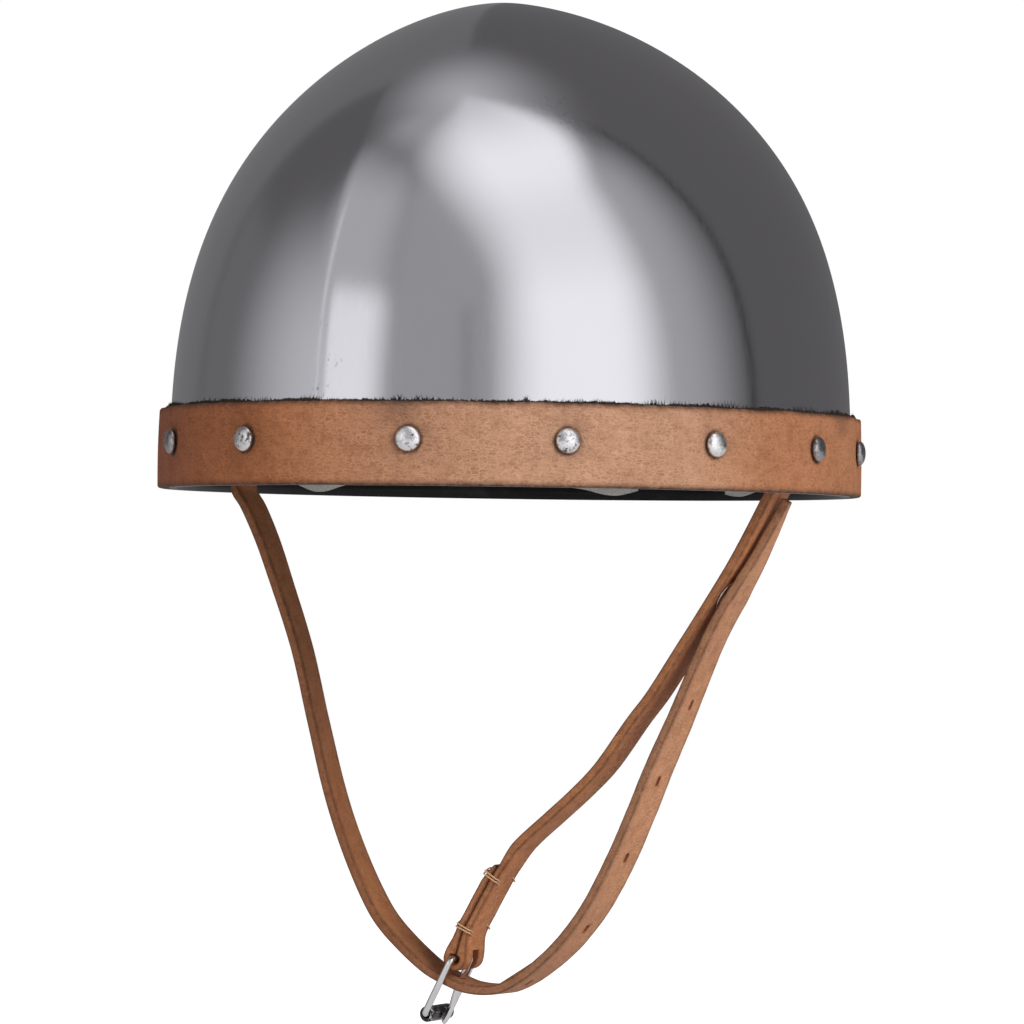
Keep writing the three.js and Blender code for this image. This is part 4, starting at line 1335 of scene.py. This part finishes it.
def stitch_points(to_bar, edge_side):
    """One turn of thread round an edge of the fold, from its front hole to its back hole."""
    at, along, facing = on_route(near_route, near_length - to_bar)
    out = across * edge_side
    stack = chape_offset(to_bar) + chape_thickness / 2 + thread_rise
    side = strap_width / 2 + thread_rise
    slant = along * (near_slant if edge_side < 0 else far_slant)
    points = []
    for face, run in ((-1, stitch_run), (1, stitch_run[::-1])):
        for inward, sunk, tilted in run:
            points.append(at + out * (side - inward) + (facing * (stack - sunk) - slant * tilted) * face)
    return curve_points(points, 6)


bm = bmesh.new()
for to_bar, edge_side, strands in stitches:
    for strand in range(strands):
        points = stitch_points(to_bar + strand * thread_pitch, edge_side)
        join_into(bm, round_sweep(points, lambda share: thread, sides=8))


def thread_material():
    waxed = Nodes("waxed_thread")
    lay = waxed.noise(2600, 3, 0.6)
    waxed.look({"Base Color": waxed.mix(lay, (0.50, 0.27, 0.14), (0.72, 0.46, 0.27)), "Roughness": 0.6})
    return waxed.material


finished(new_object("chape_stitches", bm), "chin_strap", thread_material(), "strap_leather")

# Stud. A bright steel rivet with a low head through the buckle strap, closed over a thin washer on
# the strap's other face. Its head shows between the two straps.
stud_head, stud_tall = 0.0105, 0.001
stud_seat = half_strap + clearance
stud_washer = 0.0005
stud_hold = half_strap + stud_washer - clearance
bm = rivet_body(stud_head, stud_tall, stud_seat, stud_hold)
set_along(bm, stud_at, -stud_facing)
finished(new_object("strap_stud", bm), "chin_strap", hammered_iron, "rivet_steel", "strap_rivet")
bm = washer_body(stud_washer)
set_along(bm, stud_at + stud_facing * stud_hold, -stud_facing)
finished(new_object("stud_washer", bm), "chin_strap", hammered_iron, "rivet_steel", "strap_washer")

# Buckle. A bent wire frame with a pressed roller on its outer bar, and a round prong whose eye is
# closed round the inner bar. Nickel plated, the roller blackened.
frame_corner = 0.0016
past_roller_share = 0.43
prong_reach = frame_reach + past_roller_share * roller_side
prong_steps = 36
roller_ease = 0.0003
sharp_edge = math.radians(35)


def rounded_frame():
    """The frame's middle line: four quarter turns joined by straight bars."""
    corner, low = frame_half - frame_corner, frame_corner - frame_reach
    centres = ((corner, -frame_corner), (-corner, -frame_corner), (-corner, low), (corner, low))
    outline = []
    for quarter, (y, z) in enumerate(centres):
        for step in range(9):
            angle = (quarter + step / 8) * math.pi / 2
            down = -(z + frame_corner * math.sin(angle))
            outline.append(from_bar(0, down, y + frame_corner * math.cos(angle)))
    return outline


def nickel_material():
    nickel = Nodes("bright_nickel")
    haze = nickel.noise(300, 3)
    nickel.look({
        "Metallic": 1.0,
        "Base Color": nickel.mix(haze, (0.88, 0.87, 0.86), (0.74, 0.72, 0.70)),
        "Roughness": nickel.ramp(haze, 0.3, 0.7, 0.05, 0.12),
    })
    return nickel.material


def black_material():
    black = Nodes("blackened_steel")
    # The black roller's silver spots are painted highlights, standing in for reflections on its glossy face
    painted_glints = black.ramp(black.noise(420, 5, 0.75), 0.55, 0.62)
    black.look({
        "Metallic": painted_glints,
        "Base Color": black.mix(painted_glints, (0.004, 0.004, 0.005), (0.55, 0.54, 0.53)),
        "Roughness": black.ramp(painted_glints, 0, 1, 0.12, 0.3, "LINEAR"),
    })
    return black.material


bright_nickel = nickel_material()
bm = round_sweep(rounded_frame(), lambda share: wire / 2, sides=16, closed=True)
finished(new_object("wire_buckle_frame", bm), "buckle_frame", bright_nickel, "nickel_wire", "buckle_frame")


def prong_radius(share):
    """Round wire, thinner where the eye's end closes and drawn down at the tip."""
    end, tip = max((0.04 - share) / 0.04, 0), max((share - 0.9) / 0.1, 0)
    return prong_thick / 2 * (1 - 0.2 * tip**2 - 0.25 * end)


eye_angles = [math.radians(angle) for angle in range(252, -1, -9)]
eye = [from_bar(prong_bend * math.cos(angle), -prong_bend * math.sin(angle)) for angle in eye_angles]
downs = [step / prong_steps * prong_reach for step in range(1, prong_steps + 1)]
bm = round_sweep(eye + [from_bar(prong_out(down), down) for down in downs], prong_radius, sides=16)
finished(new_object("wire_prong", bm), "buckle_prong", bright_nickel, "nickel_wire", "buckle_prong")

roller_half = frame_half - wire / 2 - clearance
inner, outer = wire / 2 + clearance, roller_thick / 2
bm = turned_body([
    (inner, -roller_half), (outer - roller_ease, -roller_half), (outer, -roller_half + roller_ease),
    (outer, roller_half - roller_ease), (outer - roller_ease, roller_half), (inner, roller_half),
    (inner, -roller_half),
], 36)
set_along(bm, from_bar(0, frame_reach), across)
roller = new_object("black_roller", bm)
roller.data.set_sharp_from_angle(angle=sharp_edge)
finished(roller, "buckle_roller", black_material(), "black_steel", "buckle_roller")
